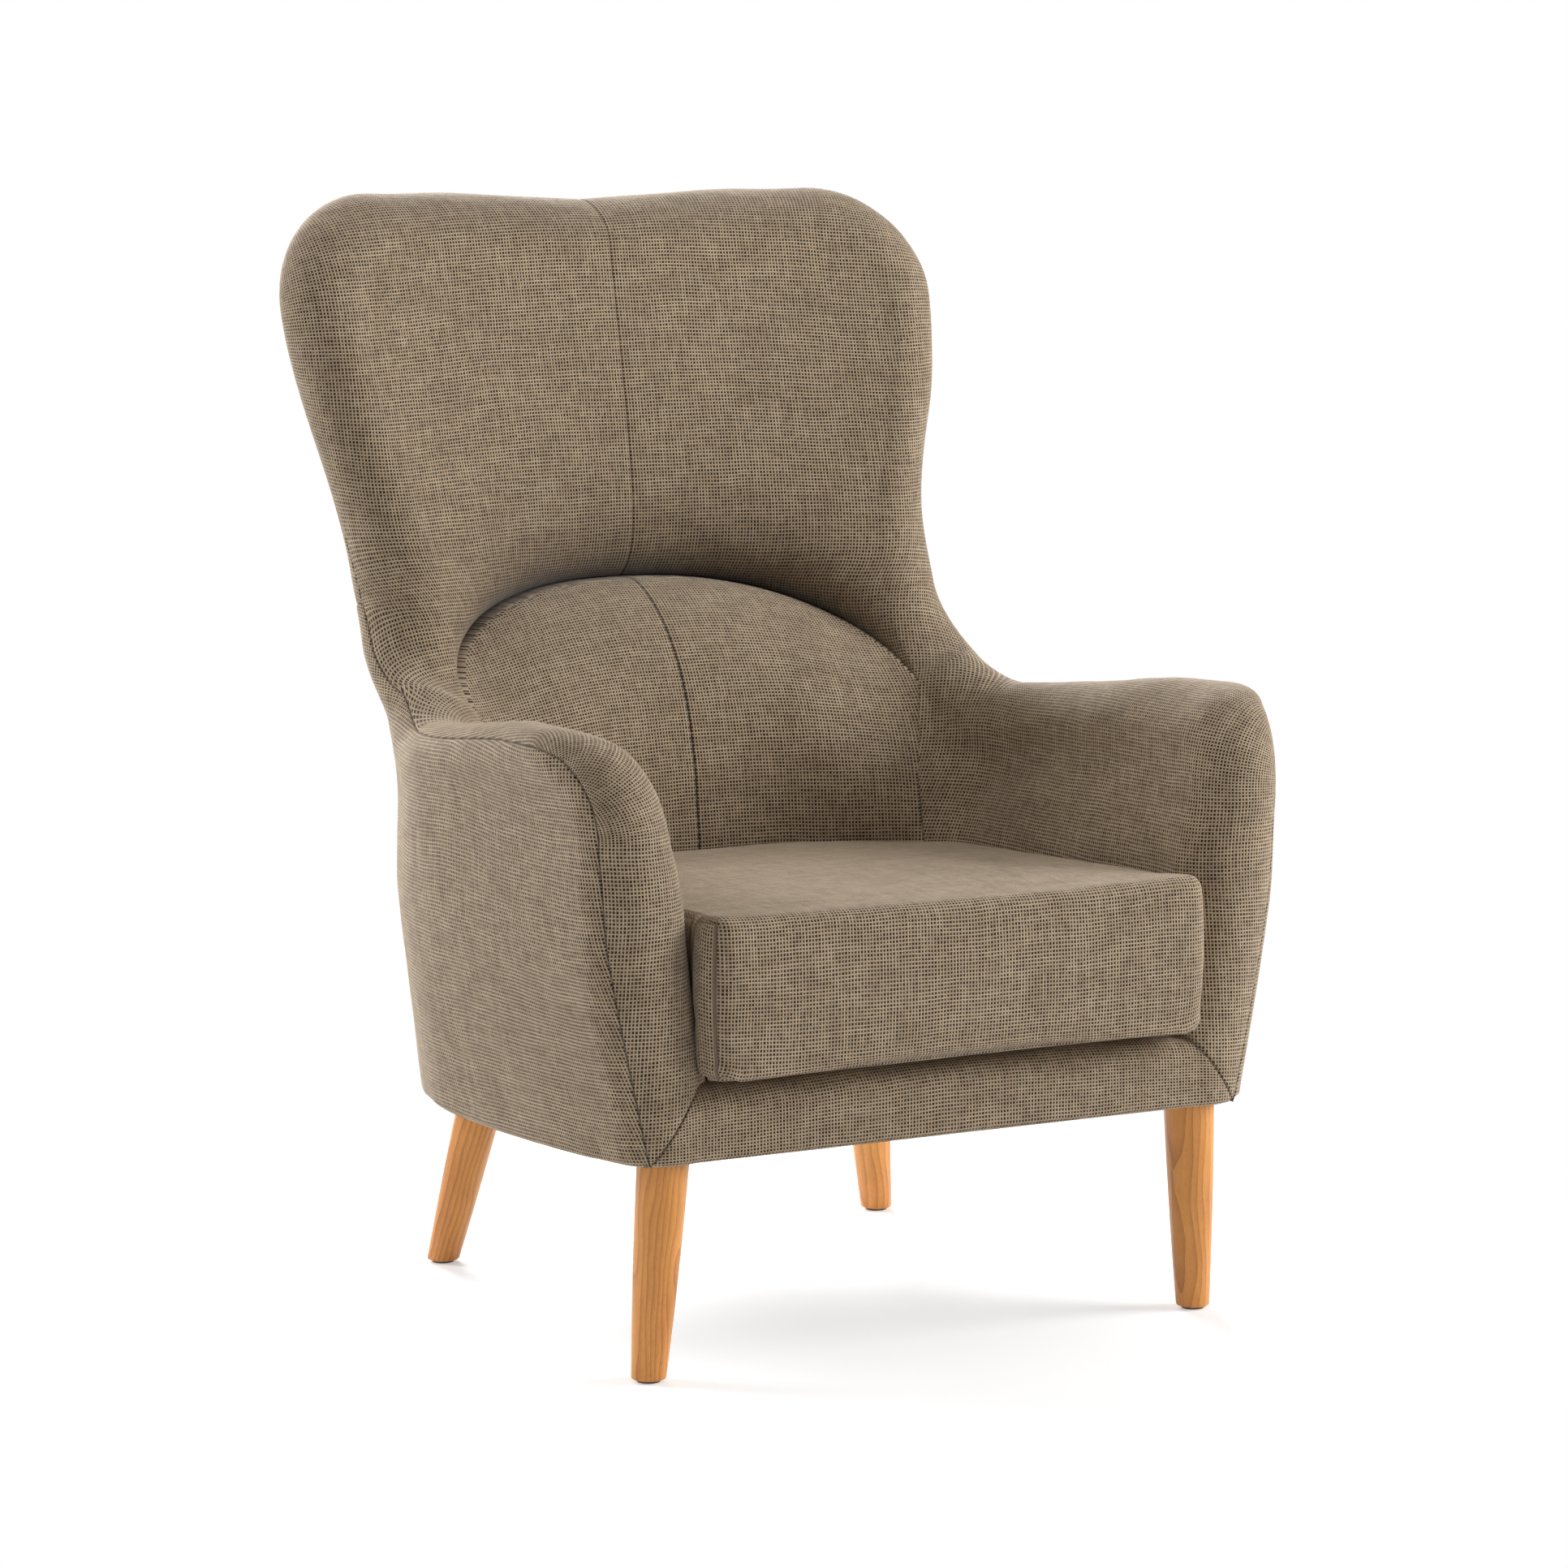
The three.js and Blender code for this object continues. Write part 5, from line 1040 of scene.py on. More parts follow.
# Outside of the arms
# Thin wadding over the arm panel under a flat piece of cloth, from the seam under the crest to the base
# board's edge, and back to an upright seam at the rear corner.


def outer_turns(runs):
    """Turns from the outer face back up to the seam, which is sewn."""
    return math.pi - (math.pi - seam_turn(runs)[:, None] - 0.011) * spread(40.0, 3.0, False, True)[None, 1:]


def outside_arm():
    runs = run_rear * spread(run_rear, FACE_STEP, False, True)
    faces = spread(300.0, FACE_STEP, False, False)
    turns = outer_turns(runs)

    def foot(runs):
        return arm_foot(runs, FLOOR_TO_BODY, neck_place, run_rear)

    spots = wall_rings(runs, foot, 1.0, faces, turns, "either")
    spots = spots.shifted(seam_gap(spots.place))
    skin = spots.skin()
    across, rise = runs_along(skin, 1), runs_along(skin, 0)
    to_seam, to_back = across[:, -1:] - across, rise[-1:] - rise
    depth = np.minimum(sewn(to_seam, rise, 12) + sewn(to_back, across, 13), DEEPEST_SEAM)
    depth = depth + eased_foot(spots.z) * soft_step(to_seam / 4)
    depth = depth + (0.7 + uneven(skin, 41)) * soft_step(to_seam / 50)
    chart = face_weave("either", 1, (place_at_y(120.0, 330.0), 330.0))
    weave = ring_weave(spots, chart, len(faces), skin)
    weave[..., 1] += 3.2 * np.sin(weave[..., 0] / 46.0) * np.exp(-to_seam / 160)
    return spots.skin(depth), spots.core(), weave, sewing_of([to_seam, to_back], rise)


outside_grid = outside_arm()
for hand, grid in (("right", outside_grid), ("left", other_hand(outside_grid))):
    outside = padded_piece(f"outside_arm_{hand}", [grid], chair_cloth, "sewn")
    dress_piece(outside, 0.8, f"outside_arm_cover_{hand}", f"outside_arm_wadding_{hand}")

# Outside of the back
# One flat panel of cloth over wadding and the ply back, closed along the rolled edge and the two upright
# seams, and tacked under the base board's rear edge.


def rear_foot(runs):
    """Foot of each ring: along the underside to the centre, then up the centre line."""
    to_centre = np.clip((runs - run_rear) / (run_wing - run_rear), 0, 1)
    upward = np.clip((runs - run_wing) / (run_top - run_wing), 0, 1)
    return neck_place * (1 - to_centre), mixed(FLOOR_TO_BODY, BACK_TOP - ROLL, upward)


def outside_back_half():
    runs = run_rear + (run_top - run_rear) * spread(run_top - run_rear, FACE_STEP, True, False)
    faces = spread(430.0, FACE_STEP, False, False)
    spots = wall_rings(runs, rear_foot, 1.0, faces, outer_turns(runs), "upper")
    skin = spots.skin()
    across, rise = runs_along(skin, 1), runs_along(skin, 0)
    to_seam = across[:, -1:] - across
    to_arm = np.where(np.arange(len(runs))[:, None] < 40, rise, FAR)
    depth = np.minimum(sewn(to_seam, rise, 14) + sewn(to_arm, across, 15), DEEPEST_SEAM)
    depth = depth + eased_foot(spots.z)
    depth = depth + (0.7 + uneven(skin * np.array([0.0, 1, 1]), 53)) * soft_step(to_seam / 50)
    chart = face_weave("upper", 1, (0.0, 500.0))
    weave = ring_weave(spots, chart, len(faces), skin)
    cover, inner = spots.skin(depth), spots.core()
    centre = np.abs(spots.place) < 1e-9
    cover[centre, 0], inner[centre, 0] = 0.0, 0.0
    return cover, inner, weave, sewing_of([to_seam, to_arm], rise)


back_grid = outside_back_half()
outside_back = padded_piece("outside_back", [back_grid, other_hand(back_grid)], chair_cloth, "joined")
dress_piece(outside_back, 0.8, "outside_back_cover", "outside_back_wadding")

# Front panel
# A padded roll over the front rail, flat in front, mitred to the arms with a fine seam at each end and
# tacked under the board. The loose cushion lies over its top.


PANEL_FACE_Y = -45.0


def front_panel():
    roll_radius, top = 24.0, 278.65
    centre_z = top - roll_radius
    half = spread(290.0, FACE_STEP, False, True)
    columns = np.concatenate([-half[::-1], half[1:]])
    angles = np.linspace(0, math.pi / 2, 12)
    upright = np.linspace(FLOOR_TO_BODY, centre_z, 13)[:-1]
    z = np.concatenate([upright, centre_z + roll_radius * np.sin(angles), [top, top, top]])
    back = np.concatenate([np.zeros(12), roll_radius * (1 - np.cos(angles)), [34.0, 46.0, 59.0]])
    z, columns = np.meshgrid(z, columns, indexing="ij")
    back = np.repeat(back[:, None], columns.shape[1], 1)
    x = columns * (mitre_x(z) - 0.3)
    turn = turn_at_x(np.abs(x), z)
    place = place_at_y(FRONT_EDGE_Y, z)
    point, normal = wall_middle(place, z)
    padding = padding_at(place, z, "either")
    edge_in = (mitre_x(z) - np.abs(x)) * 1.05
    dip = np.minimum(sewn(edge_in, z, 16), DEEPEST_SEAM) + eased_foot(z)
    dip = dip + 0.5 * ripple(np.stack([x, z, back], -1), 120.0, 61)

    def at(depth):
        across = (ROLL - padding) / 2 - np.cos(turn) * ((padding + ROLL) / 2 - depth)
        side_x = point[..., 0] + normal[..., 0] * across + normal[..., 1] * np.sin(turn) * (ROLL - depth)
        side_y = point[..., 1] + normal[..., 1] * across - normal[..., 0] * np.sin(turn) * (ROLL - depth)
        past = turn >= math.pi / 2
        y = np.where(past, side_y, np.minimum(PANEL_FACE_Y, side_y - depth) + depth)
        return np.where(past, np.sign(x) * np.minimum(side_x, np.abs(x)), x), y

    cover_x, cover_y = at(dip)
    cover = np.stack([cover_x, cover_y + back, z - dip * (back > 12)], -1)
    inner_x, inner_y = at(6.0)
    inner_y = np.maximum(inner_y, -39.0) + np.minimum(back, 50)
    inner = np.stack([inner_x * 0.995, inner_y, np.minimum(z, top - 6.0)], -1)
    skin = np.stack([x, at(0.0)[1] + back, z], -1)
    weave = np.stack([x, runs_along(skin, 0)], -1)
    return cover, inner, weave, sewing_of([edge_in], z)


panel = padded_piece("front_panel", [front_panel()], chair_cloth, "sewn")
dress_piece(panel, 0.9, "front_rail_cover", "front_rail_foam")

# Underside
# A black dust cloth of thin felt is stapled under the base board and hangs a few millimetres in the middle
# where nothing backs it. Its edge is turned in under the chair cloth.
felt, tree, shader = finish_of("black_felt", 0.95, Sheen_Weight=0.1)
where = object_place(tree)
fibres = noise(tree, where, 700.0, 4.0, 0.7)
blots = noise(tree, where, 18.0, 2.0)
felt_tone = blended(tree, between(tree, fibres, 0.3, 0.7), srgb(34, 32, 31), srgb(66, 62, 59))
felt_tone = blended(tree, between(tree, blots, 0.4, 0.65, 0.0, 0.25), felt_tone, srgb(84, 79, 74))
link(tree, felt_tone, shader.inputs["Base Color"])
link(tree, between(tree, fibres, 0.3, 0.7, 0.86, 1.0), shader.inputs["Roughness"])
raised(tree, fibres, 0.5, 0.0005, shader)


def base_outline(offset, count=150):
    """Half outline of the body at its underside, from the rear centre to the front centre."""
    z = np.array(FLOOR_TO_BODY)
    side_places = np.linspace(0, float(place_at_y(FRONT_EDGE_Y, z)), count)
    point, normal = wall_middle(side_places, np.full(count, FLOOR_TO_BODY))
    side = (point + normal * (ROLL - offset))[:, :2]
    place = place_at_y(FRONT_EDGE_Y, z)
    middle, facing = wall_middle(place, z)
    padding = padding_at(place, z, "either")
    turns = np.linspace(math.pi, math.pi / 2, 26)[1:]
    across = (ROLL - padding) / 2 - np.cos(turns) * ((padding + ROLL) / 2 - offset)
    reach = np.sin(turns) * (ROLL - offset)
    corner = np.stack([middle[0] + facing[0] * across + facing[1] * reach,
                       middle[1] + facing[1] * across - facing[0] * reach], -1)
    corner[:, 1] = np.maximum(corner[:, 1], PANEL_FACE_Y + offset)
    front_x = np.linspace(corner[-1, 0], 0, 40)[1:]
    front = np.stack([front_x, np.full(39, PANEL_FACE_Y + offset)], -1)
    return np.concatenate([side, corner, front])


def dust_cloth():
    outline = both_sides(base_outline(6.8))
    middle = np.array([0.0, 250.0])
    shares = np.concatenate([np.linspace(0, 0.2, 9), np.linspace(0.2, 0.985, 30)[1:]])
    points, faces = [], []
    count = len(outline)
    for lift in (0.0, 1.2):
        for share in shares:
            ring = mixed(outline, middle, share)
            sag = -2.2 * soft_step((share - 0.4) / 0.4)
            quilt = 0.35 * ripple(np.column_stack([ring, ring[:, 0] * 0]), 90.0, 71) * soft_step(share / 0.1)
            height = np.full(count, FLOOR_TO_BODY + 0.1 + lift + sag) + np.abs(quilt)
            points.append(np.column_stack([ring, height]))
    rings = len(shares)
    for layer in (0, 1):
        base = layer * rings * count
        for i in range(rings - 1):
            for k in range(count):
                a, b = base + i * count + k, base + i * count + (k + 1) % count
                quad = (a, b, b + count, a + count)
                faces.append(quad if layer else quad[::-1])
        last = [base + (rings - 1) * count + k for k in range(count)]
        faces.append(last if layer else last[::-1])
    for k in range(count):
        a, b = k, (k + 1) % count
        faces.append((a, b, b + rings * count, a + rings * count))
    made = bpy.data.meshes.new("dust_cloth")
    placed = in_frame(np.concatenate(points)) * MM
    made.from_pydata(placed.tolist(), [], [list(map(int, face)) for face in faces])
    made.polygons.foreach_set("use_smooth", [True] * len(made.polygons))
    made.materials.append(felt)
    cloth_object = bpy.data.objects.new("dust_cloth", made)
    bpy.context.scene.collection.objects.link(cloth_object)
    x, y = outline.T
    area = 0.5 * abs(np.dot(x, np.roll(y, 1)) - np.dot(y, np.roll(x, 1)))
    return cloth_object, np.ptp(x) * MM, np.ptp(y) * MM, area * MM * MM


dust, dust_width, dust_length, dust_area = dust_cloth()
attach(dust, "chair")
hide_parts("underside_cloth")

# Seat deck
# A felt pad in a black lining cloth lies on the springs and closes the well under the loose cushion. The
# lining is a plain close weave, stitched round its rim.
lining, tree, shader = finish_of("black_lining", 0.9, Sheen_Weight=0.08)
where = object_place(tree)
parts = tree.nodes.new("ShaderNodeSeparateXYZ")
link(tree, where, parts.inputs[0])
over, under = (sums(tree, "SINE", sums(tree, "MULTIPLY", parts.outputs[axis], 3600.0)) for axis in ("X", "Y"))
plain_weave = sums(tree, "MULTIPLY", over, under)
lint = noise(tree, where, 160.0, 3.0)
lining_tone = blended(tree, between(tree, plain_weave, -1.0, 1.0), srgb(36, 33, 31), srgb(70, 65, 60))
lining_tone = blended(tree, between(tree, lint, 0.5, 0.8, 0.0, 0.3), lining_tone, srgb(96, 90, 83))
link(tree, lining_tone, shader.inputs["Base Color"])
link(tree, between(tree, lint, 0.3, 0.7, 0.82, 0.98), shader.inputs["Roughness"])
raised(tree, plain_weave, 0.35, 0.0003, shader)
SEAT_TILT = math.tan(math.radians(2.07))


def deck_top(y):
    return 284.0 - SEAT_TILT * y


def seat_deck():
    front_y, gap, thickness = 14.4, 4.0, 7.1
    places = np.linspace(0, float(place_at_y(front_y, np.array(284.0))), 120)
    level = np.full(120, 284.0)
    point, normal = wall_middle(places, level)
    rim = point - normal * (padding_at(places, level, "either") + gap)[:, None]
    front_x = np.linspace(rim[-1, 0], 0, 40)[1:]
    half = np.concatenate([rim[:, :2], np.column_stack([front_x, np.full(39, front_y)])])
    outline = both_sides(half)
    middle = np.array([0.0, 235.0])
    edge = thickness / 2
    profile = [(edge * (1 - math.sin(t)), -edge * math.cos(t)) for t in np.linspace(0, math.pi, 11)]
    shares = np.linspace(0.97, 0.02, 26)
    points = []
    for share in shares:
        points.append(np.column_stack([mixed(outline, middle, share), np.full(len(outline), -edge)]))
    for inset, height in profile:
        toward = middle - outline
        toward /= np.linalg.norm(toward, axis=1, keepdims=True)
        points.append(np.column_stack([outline + toward * inset, np.full(len(outline), height)]))
    for share in shares[::-1]:
        points.append(np.column_stack([mixed(outline, middle, share), np.full(len(outline), edge)]))
    grid = np.array(points)
    quilt = 0.5 * ripple(grid * np.array([1.0, 1, 0]), 70.0, 83)
    grid[..., 2] += deck_top(grid[..., 1]) - edge - np.abs(quilt) * (grid[..., 2] > 0)
    return piece_from("seat_deck", in_frame(grid.reshape(-1, 3)), ring_faces(*grid.shape[:2]), lining, {})


deck = seat_deck()
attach(deck, "chair")
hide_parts("seat_deck_cover", "seat_deck_pad")

# Loose seat cushion
# A firm foam block, slightly crowned, in a removable cover: one panel runs over the top and down the front,
# and a border closes the sides and the back, with upright seams at the front corners.
CUSHION_THICK, CUSHION_FRONT_Y, CUSHION_HALF = 155.0, -77.0, 274.0
CORNER, EASE, SWELL, CROWN, SQUAB_GAP = 26.0, 17.0, 3.0, 9.0, 6.0


def cushion_bottom(y):
    return deck_top(y) + 0.35


def cushion_outline(level, count_side=104):
    """Outline of the cushion at a level: round the well's sides, past the arms' fronts, square in front."""
    z = float(cushion_bottom(CUSHION_FRONT_Y)) + level
    places = np.linspace(0, float(place_at_y(FRONT_EDGE_Y, np.array(z))), count_side)
    levels = np.full(count_side, z)
    point, normal = wall_middle(places, levels)
    side = (point - normal * (padding_at(places, levels, "either") + SQUAB_GAP)[:, None])[:, :2]
    turns = np.radians(np.linspace(5, 68, 14))
    middle, facing = point[-1], normal[-1]
    padding = float(padding_at(places[-1:], levels[-1:], "either")[0])
    across = (ROLL - padding) / 2 - np.cos(turns) * ((padding + ROLL) / 2 + SQUAB_GAP)
    reach = np.sin(turns) * (ROLL + SQUAB_GAP)
    past = np.stack([middle[0] + facing[0] * across, middle[1] + facing[1] * across - reach], -1)
    past[:, 0] = np.minimum(past[:, 0], CUSHION_HALF)
    flank_y = np.linspace(past[-1, 1], CUSHION_FRONT_Y + CORNER, 6)[1:]
    flank = np.stack([mixed(past[-1, 0], CUSHION_HALF, np.linspace(0.2, 1, 5)), flank_y], -1)
    angles = np.linspace(0, math.pi / 2, 14)[1:]
    corner = np.stack([CUSHION_HALF - CORNER + CORNER * np.cos(angles),
                       CUSHION_FRONT_Y + CORNER - CORNER * np.sin(angles)], -1)
    front_x = np.linspace(CUSHION_HALF - CORNER, 0, 46)[1:]
    front = np.stack([front_x, np.full(45, CUSHION_FRONT_Y)], -1)
    half = np.concatenate([side, past, flank, corner, front])
    for _ in range(4):
        half[1:-1] = (half[:-2] + 2 * half[1:-1] + half[2:]) / 4
    return both_sides(half)


def evened(ring, share):
    """A closed ring in which each point moves a share of the way to its neighbours' middle."""
    return np.roll(ring, 1, 0) * share / 2 + ring * (1 - share) + np.roll(ring, -1, 0) * share / 2


def cushion_grid():
    """Rings from the middle of the bottom, over its edge, up the border and over the top to its middle."""
    corner = np.linspace(0, math.pi / 2, 9)
    low = [(EASE * (1 - math.sin(t)), EASE * (1 - math.cos(t))) for t in corner]
    side = [(-SWELL * math.sin(math.pi * s) ** 0.8, EASE + (CUSHION_THICK - 2 * EASE) * s)
            for s in np.linspace(0, 1, 25)[1:-1]]
    high = [(inset, CUSHION_THICK - level) for inset, level in low[::-1]]
    section = low + side + high
    drawn = np.concatenate([np.linspace(0, 0.10, 11)[1:], np.linspace(0.10, 0.998, 35)[1:]])
    middle = np.array([0.0, 188.0])
    rings = []
    levels = {round(level, 3) for _, level in section}
    outlines = {level: cushion_outline(level) for level in levels}
    for inset, level in section:
        outline = outlines[round(level, 3)]
        forward = np.roll(outline, -1, 0) - np.roll(outline, 1, 0)
        facing = np.stack([forward[:, 1], -forward[:, 0]], -1)
        facing /= np.linalg.norm(facing, axis=1, keepdims=True)
        facing *= np.sign((facing * (outline - middle)).sum(1).mean())
        for _ in range(16):
            facing = evened(facing, 0.5)
        ring = outline - facing * inset
        rings.append(np.column_stack([ring, cushion_bottom(ring[:, 1]) + level]))
    bottom, top = [], []
    low_ring, high_ring = rings[0][:, :2], rings[-1][:, :2]
    for number, share in enumerate(drawn):
        for _ in range(min(number + 1, 30)):
            low_ring, high_ring = evened(low_ring, 0.5), evened(high_ring, 0.5)
        flat = mixed(low_ring, middle, share)
        bottom.append(np.column_stack([flat, cushion_bottom(flat[:, 1])]))
        flat = mixed(high_ring, middle, share)
        rise = CROWN * np.sin(np.minimum(1, share) * math.pi / 2) ** 0.9
        top.append(np.column_stack([flat, cushion_bottom(flat[:, 1]) + CUSHION_THICK + rise]))
    return np.array(bottom[::-1] + rings + top), len(bottom), len(rings)


grid, cap_rows, side_rows = cushion_grid()
rows, count = grid.shape[:2]
front_top = cap_rows + side_rows
around = runs_along(np.concatenate([grid, grid[:, :1]], 1), 1)[:, :-1]
heights = runs_along(grid, 0)
middle_row = cap_rows + side_rows // 2
round_length = around[middle_row]
seam_x = CUSHION_HALF - 3.0
on_front = (np.abs(grid[middle_row, :, 0]) < seam_x) & (grid[middle_row, :, 1] < 0)
edge_row = front_top - 5
x_side = np.repeat(round_length[None], rows, 0)
to_edge = np.abs(heights - heights[edge_row][None])
low_edge_row = cap_rows + 3
to_low_edge = np.abs(heights - heights[low_edge_row][None])
seam_columns = [int(k) for k in np.flatnonzero(on_front[:-1] != on_front[1:])]
to_corner = np.minimum.reduce([np.abs(round_length - round_length[k]) for k in seam_columns])
to_corner = np.repeat(to_corner[None], rows, 0)
between_edges = (np.arange(rows) > low_edge_row) & (np.arange(rows) < edge_row)
border_seam = np.where(on_front[None], FAR, np.minimum(to_edge, to_low_edge))
corner_seam = np.where(between_edges[:, None], to_corner, FAR)
front_low_seam = np.where(on_front[None], to_low_edge, FAR)
nearest = np.minimum.reduce([border_seam, corner_seam, front_low_seam])
top_weave = np.stack([grid[..., 0], grid[..., 1] - CUSHION_FRONT_Y], -1)
front_weave = np.stack([grid[..., 0], heights - heights[front_top - 1][None] + EASE], -1)
side_weave = np.stack([x_side, heights], -1)
row_number = np.arange(rows)[:, None]
is_top, is_bottom = row_number >= front_top - 2, row_number < cap_rows + 2
weave = np.where(is_top[..., None], top_weave, np.where(on_front[None, :, None], front_weave, side_weave))
weave = np.where(is_bottom[..., None], top_weave, weave)


def along_grid(wanted, known, values):
    """Values known at some rows of an array, read off between them for all the rows that are wanted."""
    out = np.empty((values.shape[1], len(wanted), 3))
    for k in range(values.shape[1]):
        for axis in range(3):
            out[k, :, axis] = np.interp(wanted, known, values[:, k, axis])
    return out


def drawn_in(grid, keep_rows, seam_rows):
    """Runs every fourth thread of the cover as cloth, held along its lower seam and underside.

    The faces of the trial wind inward, so the pressure draws the cover in instead of filling it out: by
    nearly the largest move on the top, by about 4 mm in front and at the sides.
    """
    thread_step, last_frame, pressure, largest_move = 4, 20, 3.0, 6.0
    picked = np.unique(np.concatenate([np.arange(0, rows, thread_step), keep_rows, [rows - 1]]))
    threads = np.arange(0, count, thread_step)
    coarse = grid[np.ix_(picked, threads)]
    high, wide = coarse.shape[:2]
    mesh = bpy.data.meshes.new("cushion_trial")
    mesh.from_pydata((coarse.reshape(-1, 3) * MM).tolist(), [], ring_faces(high, wide))
    trial = bpy.data.objects.new("cushion_trial", mesh)
    bpy.context.scene.collection.objects.link(trial)
    held = trial.vertex_groups.new(name="held")
    rows_held = np.flatnonzero((picked <= cap_rows) | np.isin(picked, seam_rows))
    held.add([int(i * wide + k) for i in rows_held for k in range(wide)], 1.0, "REPLACE")
    cloth = trial.modifiers.new("cloth", "CLOTH")
    settings = cloth.settings
    settings.quality = 5
    settings.mass = 0.3
    settings.tension_stiffness = settings.compression_stiffness = settings.shear_stiffness = 12
    settings.bending_stiffness = 1.0
    settings.vertex_group_mass = "held"
    settings.pin_stiffness = 1.0
    settings.use_pressure = True
    settings.uniform_pressure_force = pressure
    settings.effector_weights.gravity = 0.0
    cloth.point_cache.frame_start, cloth.point_cache.frame_end = 1, last_frame
    for step in range(1, last_frame + 1):
        bpy.context.scene.frame_set(step)
    seen = trial.evaluated_get(bpy.context.evaluated_depsgraph_get())
    settled = np.empty(len(seen.data.vertices) * 3)
    seen.data.vertices.foreach_get("co", settled)
    bpy.context.scene.frame_set(1)
    bpy.data.objects.remove(trial)
    moved = settled.reshape(coarse.shape) / MM - coarse
    far = np.linalg.norm(moved, axis=-1, keepdims=True)
    moved *= np.minimum(1.0, largest_move / np.maximum(far, 1e-9))
    by_thread = along_grid(np.arange(rows), picked, moved)
    closed = np.concatenate([by_thread, by_thread[:1]])
    return grid + along_grid(np.arange(count), np.append(threads, count), closed)


grid = drawn_in(grid, [cap_rows, low_edge_row, edge_row, front_top], [low_edge_row])
normal_out = np.cross(np.roll(grid, -1, 1) - np.roll(grid, 1, 1), np.gradient(grid, axis=0))
normal_out /= np.maximum(np.linalg.norm(normal_out, axis=-1, keepdims=True), 1e-9)
centre_point = grid.reshape(-1, 3).mean(0)
if (normal_out * (grid - centre_point)).sum() < 0:
    normal_out = -normal_out
sink = np.minimum(sewn(nearest, around, 18, 1.8), 3.0) + 0.5 * uneven(grid, 97)
grid = grid - normal_out * sink[..., None]
grid[..., 2] = np.maximum(grid[..., 2], cushion_bottom(grid[..., 1]))
cushion_sewing = np.stack([np.minimum(nearest, 60), around, np.zeros_like(around)], -1)
weave3 = np.concatenate([weave, np.zeros(weave.shape[:2] + (1,))], -1)
cushion = piece_from("seat_cushion", in_frame(grid.reshape(-1, 3)), ring_faces(rows, count), chair_cloth,
                     {"weave": weave3.reshape(-1, 3), "sewing": cushion_sewing.reshape(-1, 3)})
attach(cushion, "seat_cushion")
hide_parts("seat_cushion_cover", "seat_cushion_foam")
dress(lining, "cushion_zip")

# Studio
# The chair stands on a plain white floor in soft light: a broad lamp in front on the right, two behind it,
# a weak one above and an even sky. The camera stands in front and to the left, at table height.
floor_mesh = bpy.data.meshes.new("floor")
reach = 30.0
floor_corners = [(-reach, -reach, 0), (reach, -reach, 0), (reach, reach, 0), (-reach, reach, 0)]
floor_mesh.from_pydata(floor_corners, [], [(0, 1, 2, 3)])
floor = bpy.data.objects.new("floor", floor_mesh)
bpy.context.scene.collection.objects.link(floor)
paper, tree, shader = finish_of("white_floor", 0.9)
shader.inputs["Base Color"].default_value = (0.82, 0.82, 0.82, 1)
floor_mesh.materials.append(paper)
where = object_place(tree)
away = tree.nodes.new("ShaderNodeVectorMath")
away.operation = "LENGTH"
link(tree, where, away.inputs[0])
fade = between(tree, away.outputs["Value"], 0.42, 0.95)
sight = tree.nodes.new("ShaderNodeLightPath")
seen = sums(tree, "MAXIMUM", sight.outputs["Is Camera Ray"], sight.outputs["Is Glossy Ray"])
glow = tree.nodes.new("ShaderNodeEmission")
glow.inputs["Color"].default_value = (1, 1, 1, 1)
glow.inputs["Strength"].default_value = 1.0
lit = tree.nodes.new("ShaderNodeAddShader")
lift = tree.nodes.new("ShaderNodeEmission")
lift.inputs["Color"].default_value = (1, 1, 1, 1)
plug(tree, lift.inputs["Strength"], sums(tree, "MULTIPLY", seen, 0.38))
link(tree, shader.outputs[0], lit.inputs[0])
link(tree, lift.outputs[0], lit.inputs[1])
away_mix = tree.nodes.new("ShaderNodeMixShader")
plug(tree, away_mix.inputs[0], sums(tree, "MULTIPLY", fade, seen))
link(tree, lit.outputs[0], away_mix.inputs[1])
link(tree, glow.outputs[0], away_mix.inputs[2])
link(tree, away_mix.outputs[0], tree.nodes["Material Output"].inputs["Surface"])

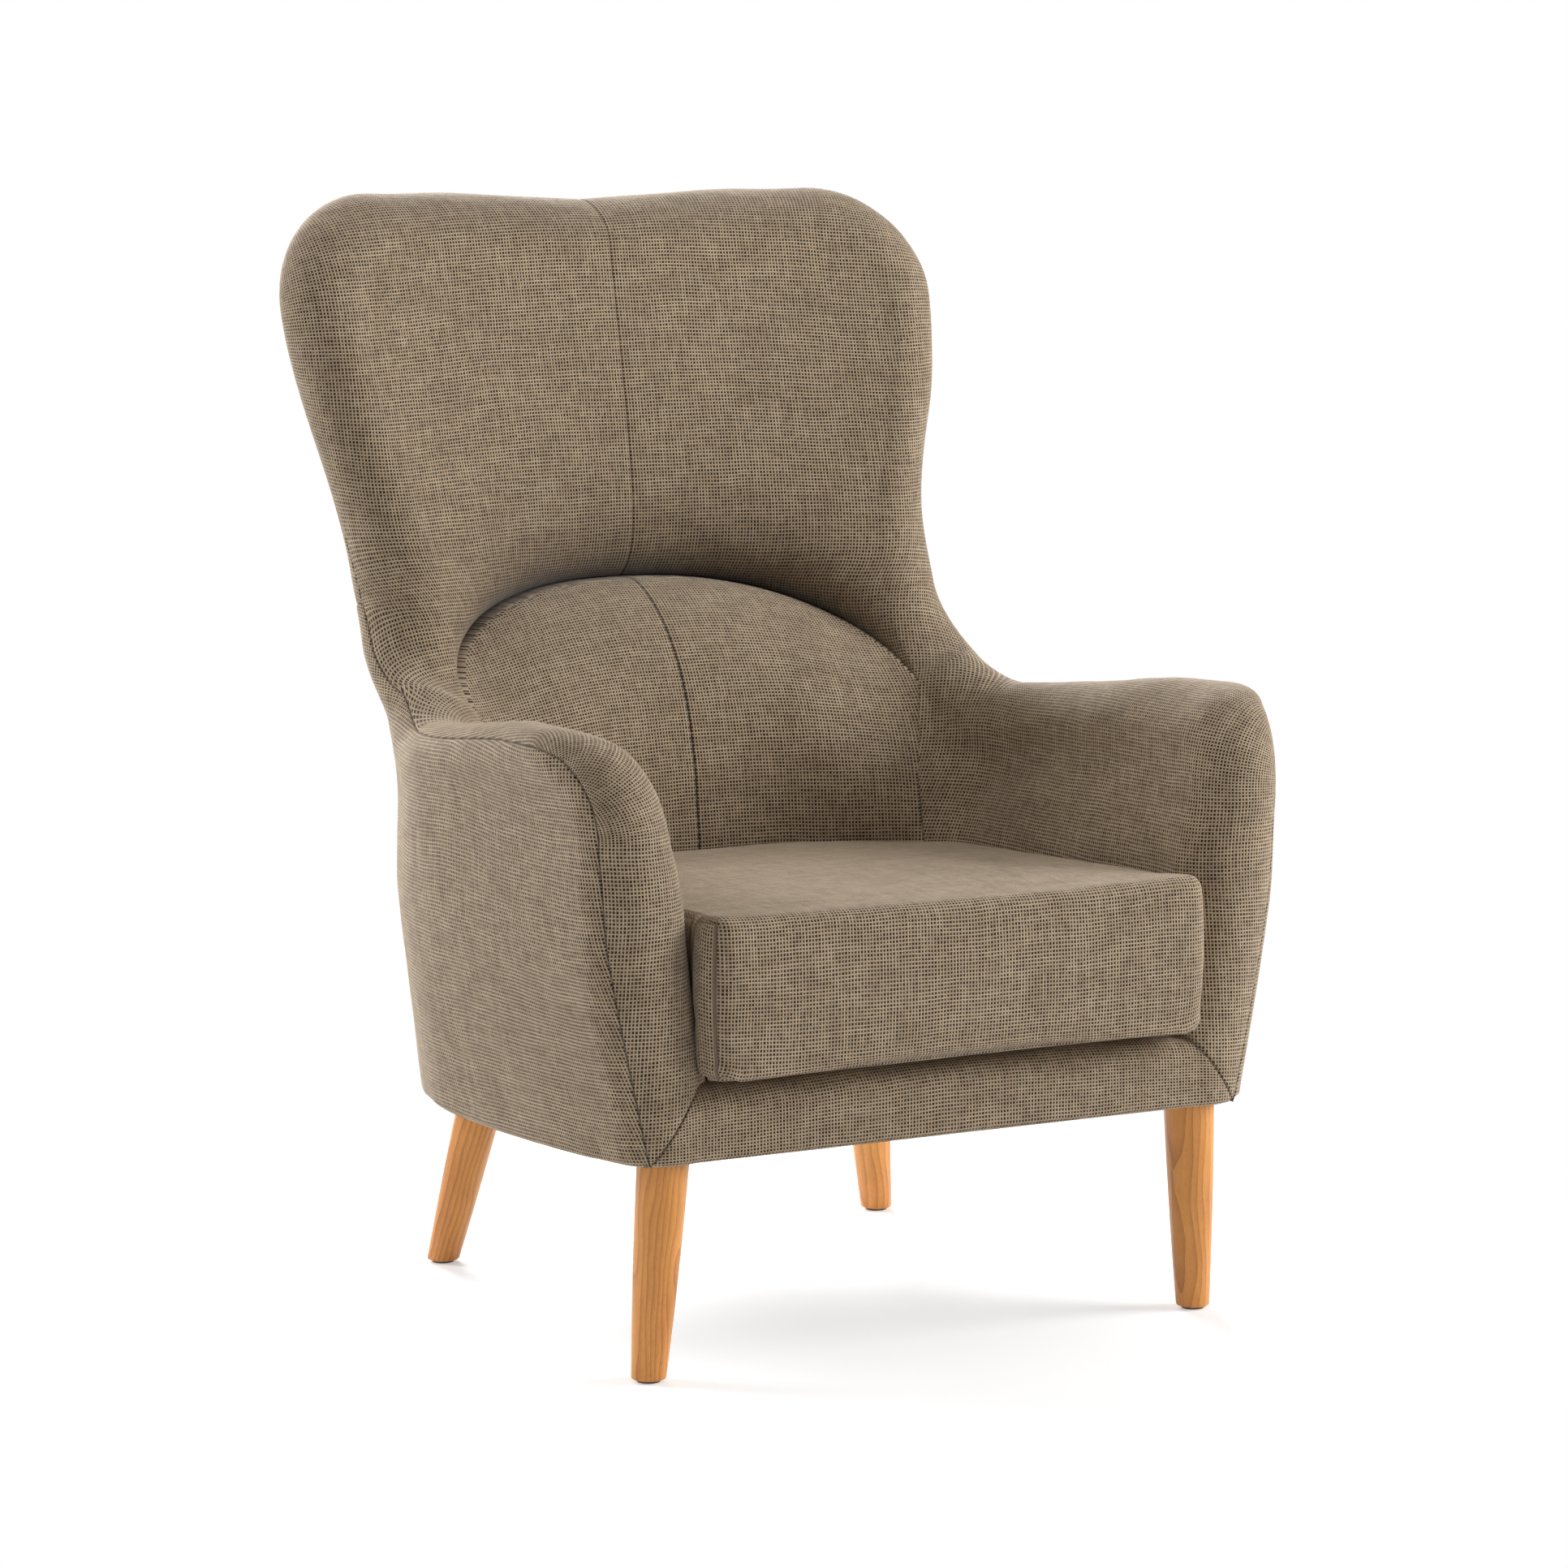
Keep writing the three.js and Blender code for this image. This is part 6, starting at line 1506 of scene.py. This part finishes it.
world = bpy.data.worlds.new("studio_sky")
bpy.context.scene.world = world
world.use_nodes = True
tree = world.node_tree
sky = tree.nodes["Background"]
sky.inputs["Color"].default_value = (1, 1, 1, 1)
sight = tree.nodes.new("ShaderNodeLightPath")
through = sums(tree, "MAXIMUM", sight.outputs["Is Glossy Ray"], sight.outputs["Is Transmission Ray"])
through = sums(tree, "MAXIMUM", sight.outputs["Is Camera Ray"], through)
plug(tree, sky.inputs["Strength"], between(tree, through, 0.0, 1.0, 0.29, 1.0, False))


def soft_lamp(name, place, aim, size, power):
    light = bpy.data.lights.new(name, "AREA")
    light.shape, light.size, light.energy = "DISK", size, power
    made = bpy.data.objects.new(name, light)
    made.location = place
    direction = np.array(aim, float) - np.array(place, float)
    flat = math.hypot(direction[0], direction[1])
    heading = math.atan2(direction[1], direction[0]) - math.pi / 2
    made.rotation_euler = (math.atan2(flat, -direction[2]), 0.0, heading)
    made.visible_camera = False
    bpy.context.scene.collection.objects.link(made)


soft_lamp("front_lamp", (3.2, -1.8, 2.0), (0, 0, 0.5), 2.2, 112.0)
soft_lamp("rear_left_lamp", (-2.6, 2.4, 2.8), (0, 0, 0.6), 2.0, 84.0)
soft_lamp("rear_lamp", (0.6, 3.6, 1.9), (0, 0, 0.6), 2.6, 260.0)
soft_lamp("top_lamp", (0, -0.4, 3.6), (0, 0, 0.4), 2.4, 15.0)

FOCAL_PIXELS, PHOTO_PIXELS, SENSOR_MM = 6500.86, 1932, 36.0
CAMERA_DOWN, CAMERA_LEFT = 7.796, 29.12
camera_data = bpy.data.cameras.new("camera")
camera_data.sensor_width = SENSOR_MM
camera_data.lens = FOCAL_PIXELS / PHOTO_PIXELS * SENSOR_MM
camera_data.clip_end = 60.0
camera = bpy.data.objects.new("camera", camera_data)
camera.location = (-2.5015963, -4.5545549, 1.2060121)
camera.rotation_euler = (math.radians(90 - CAMERA_DOWN), 0.0, math.radians(-CAMERA_LEFT))
bpy.context.scene.collection.objects.link(camera)
bpy.context.scene.camera = camera
bpy.context.scene.view_settings.view_transform = "Standard"
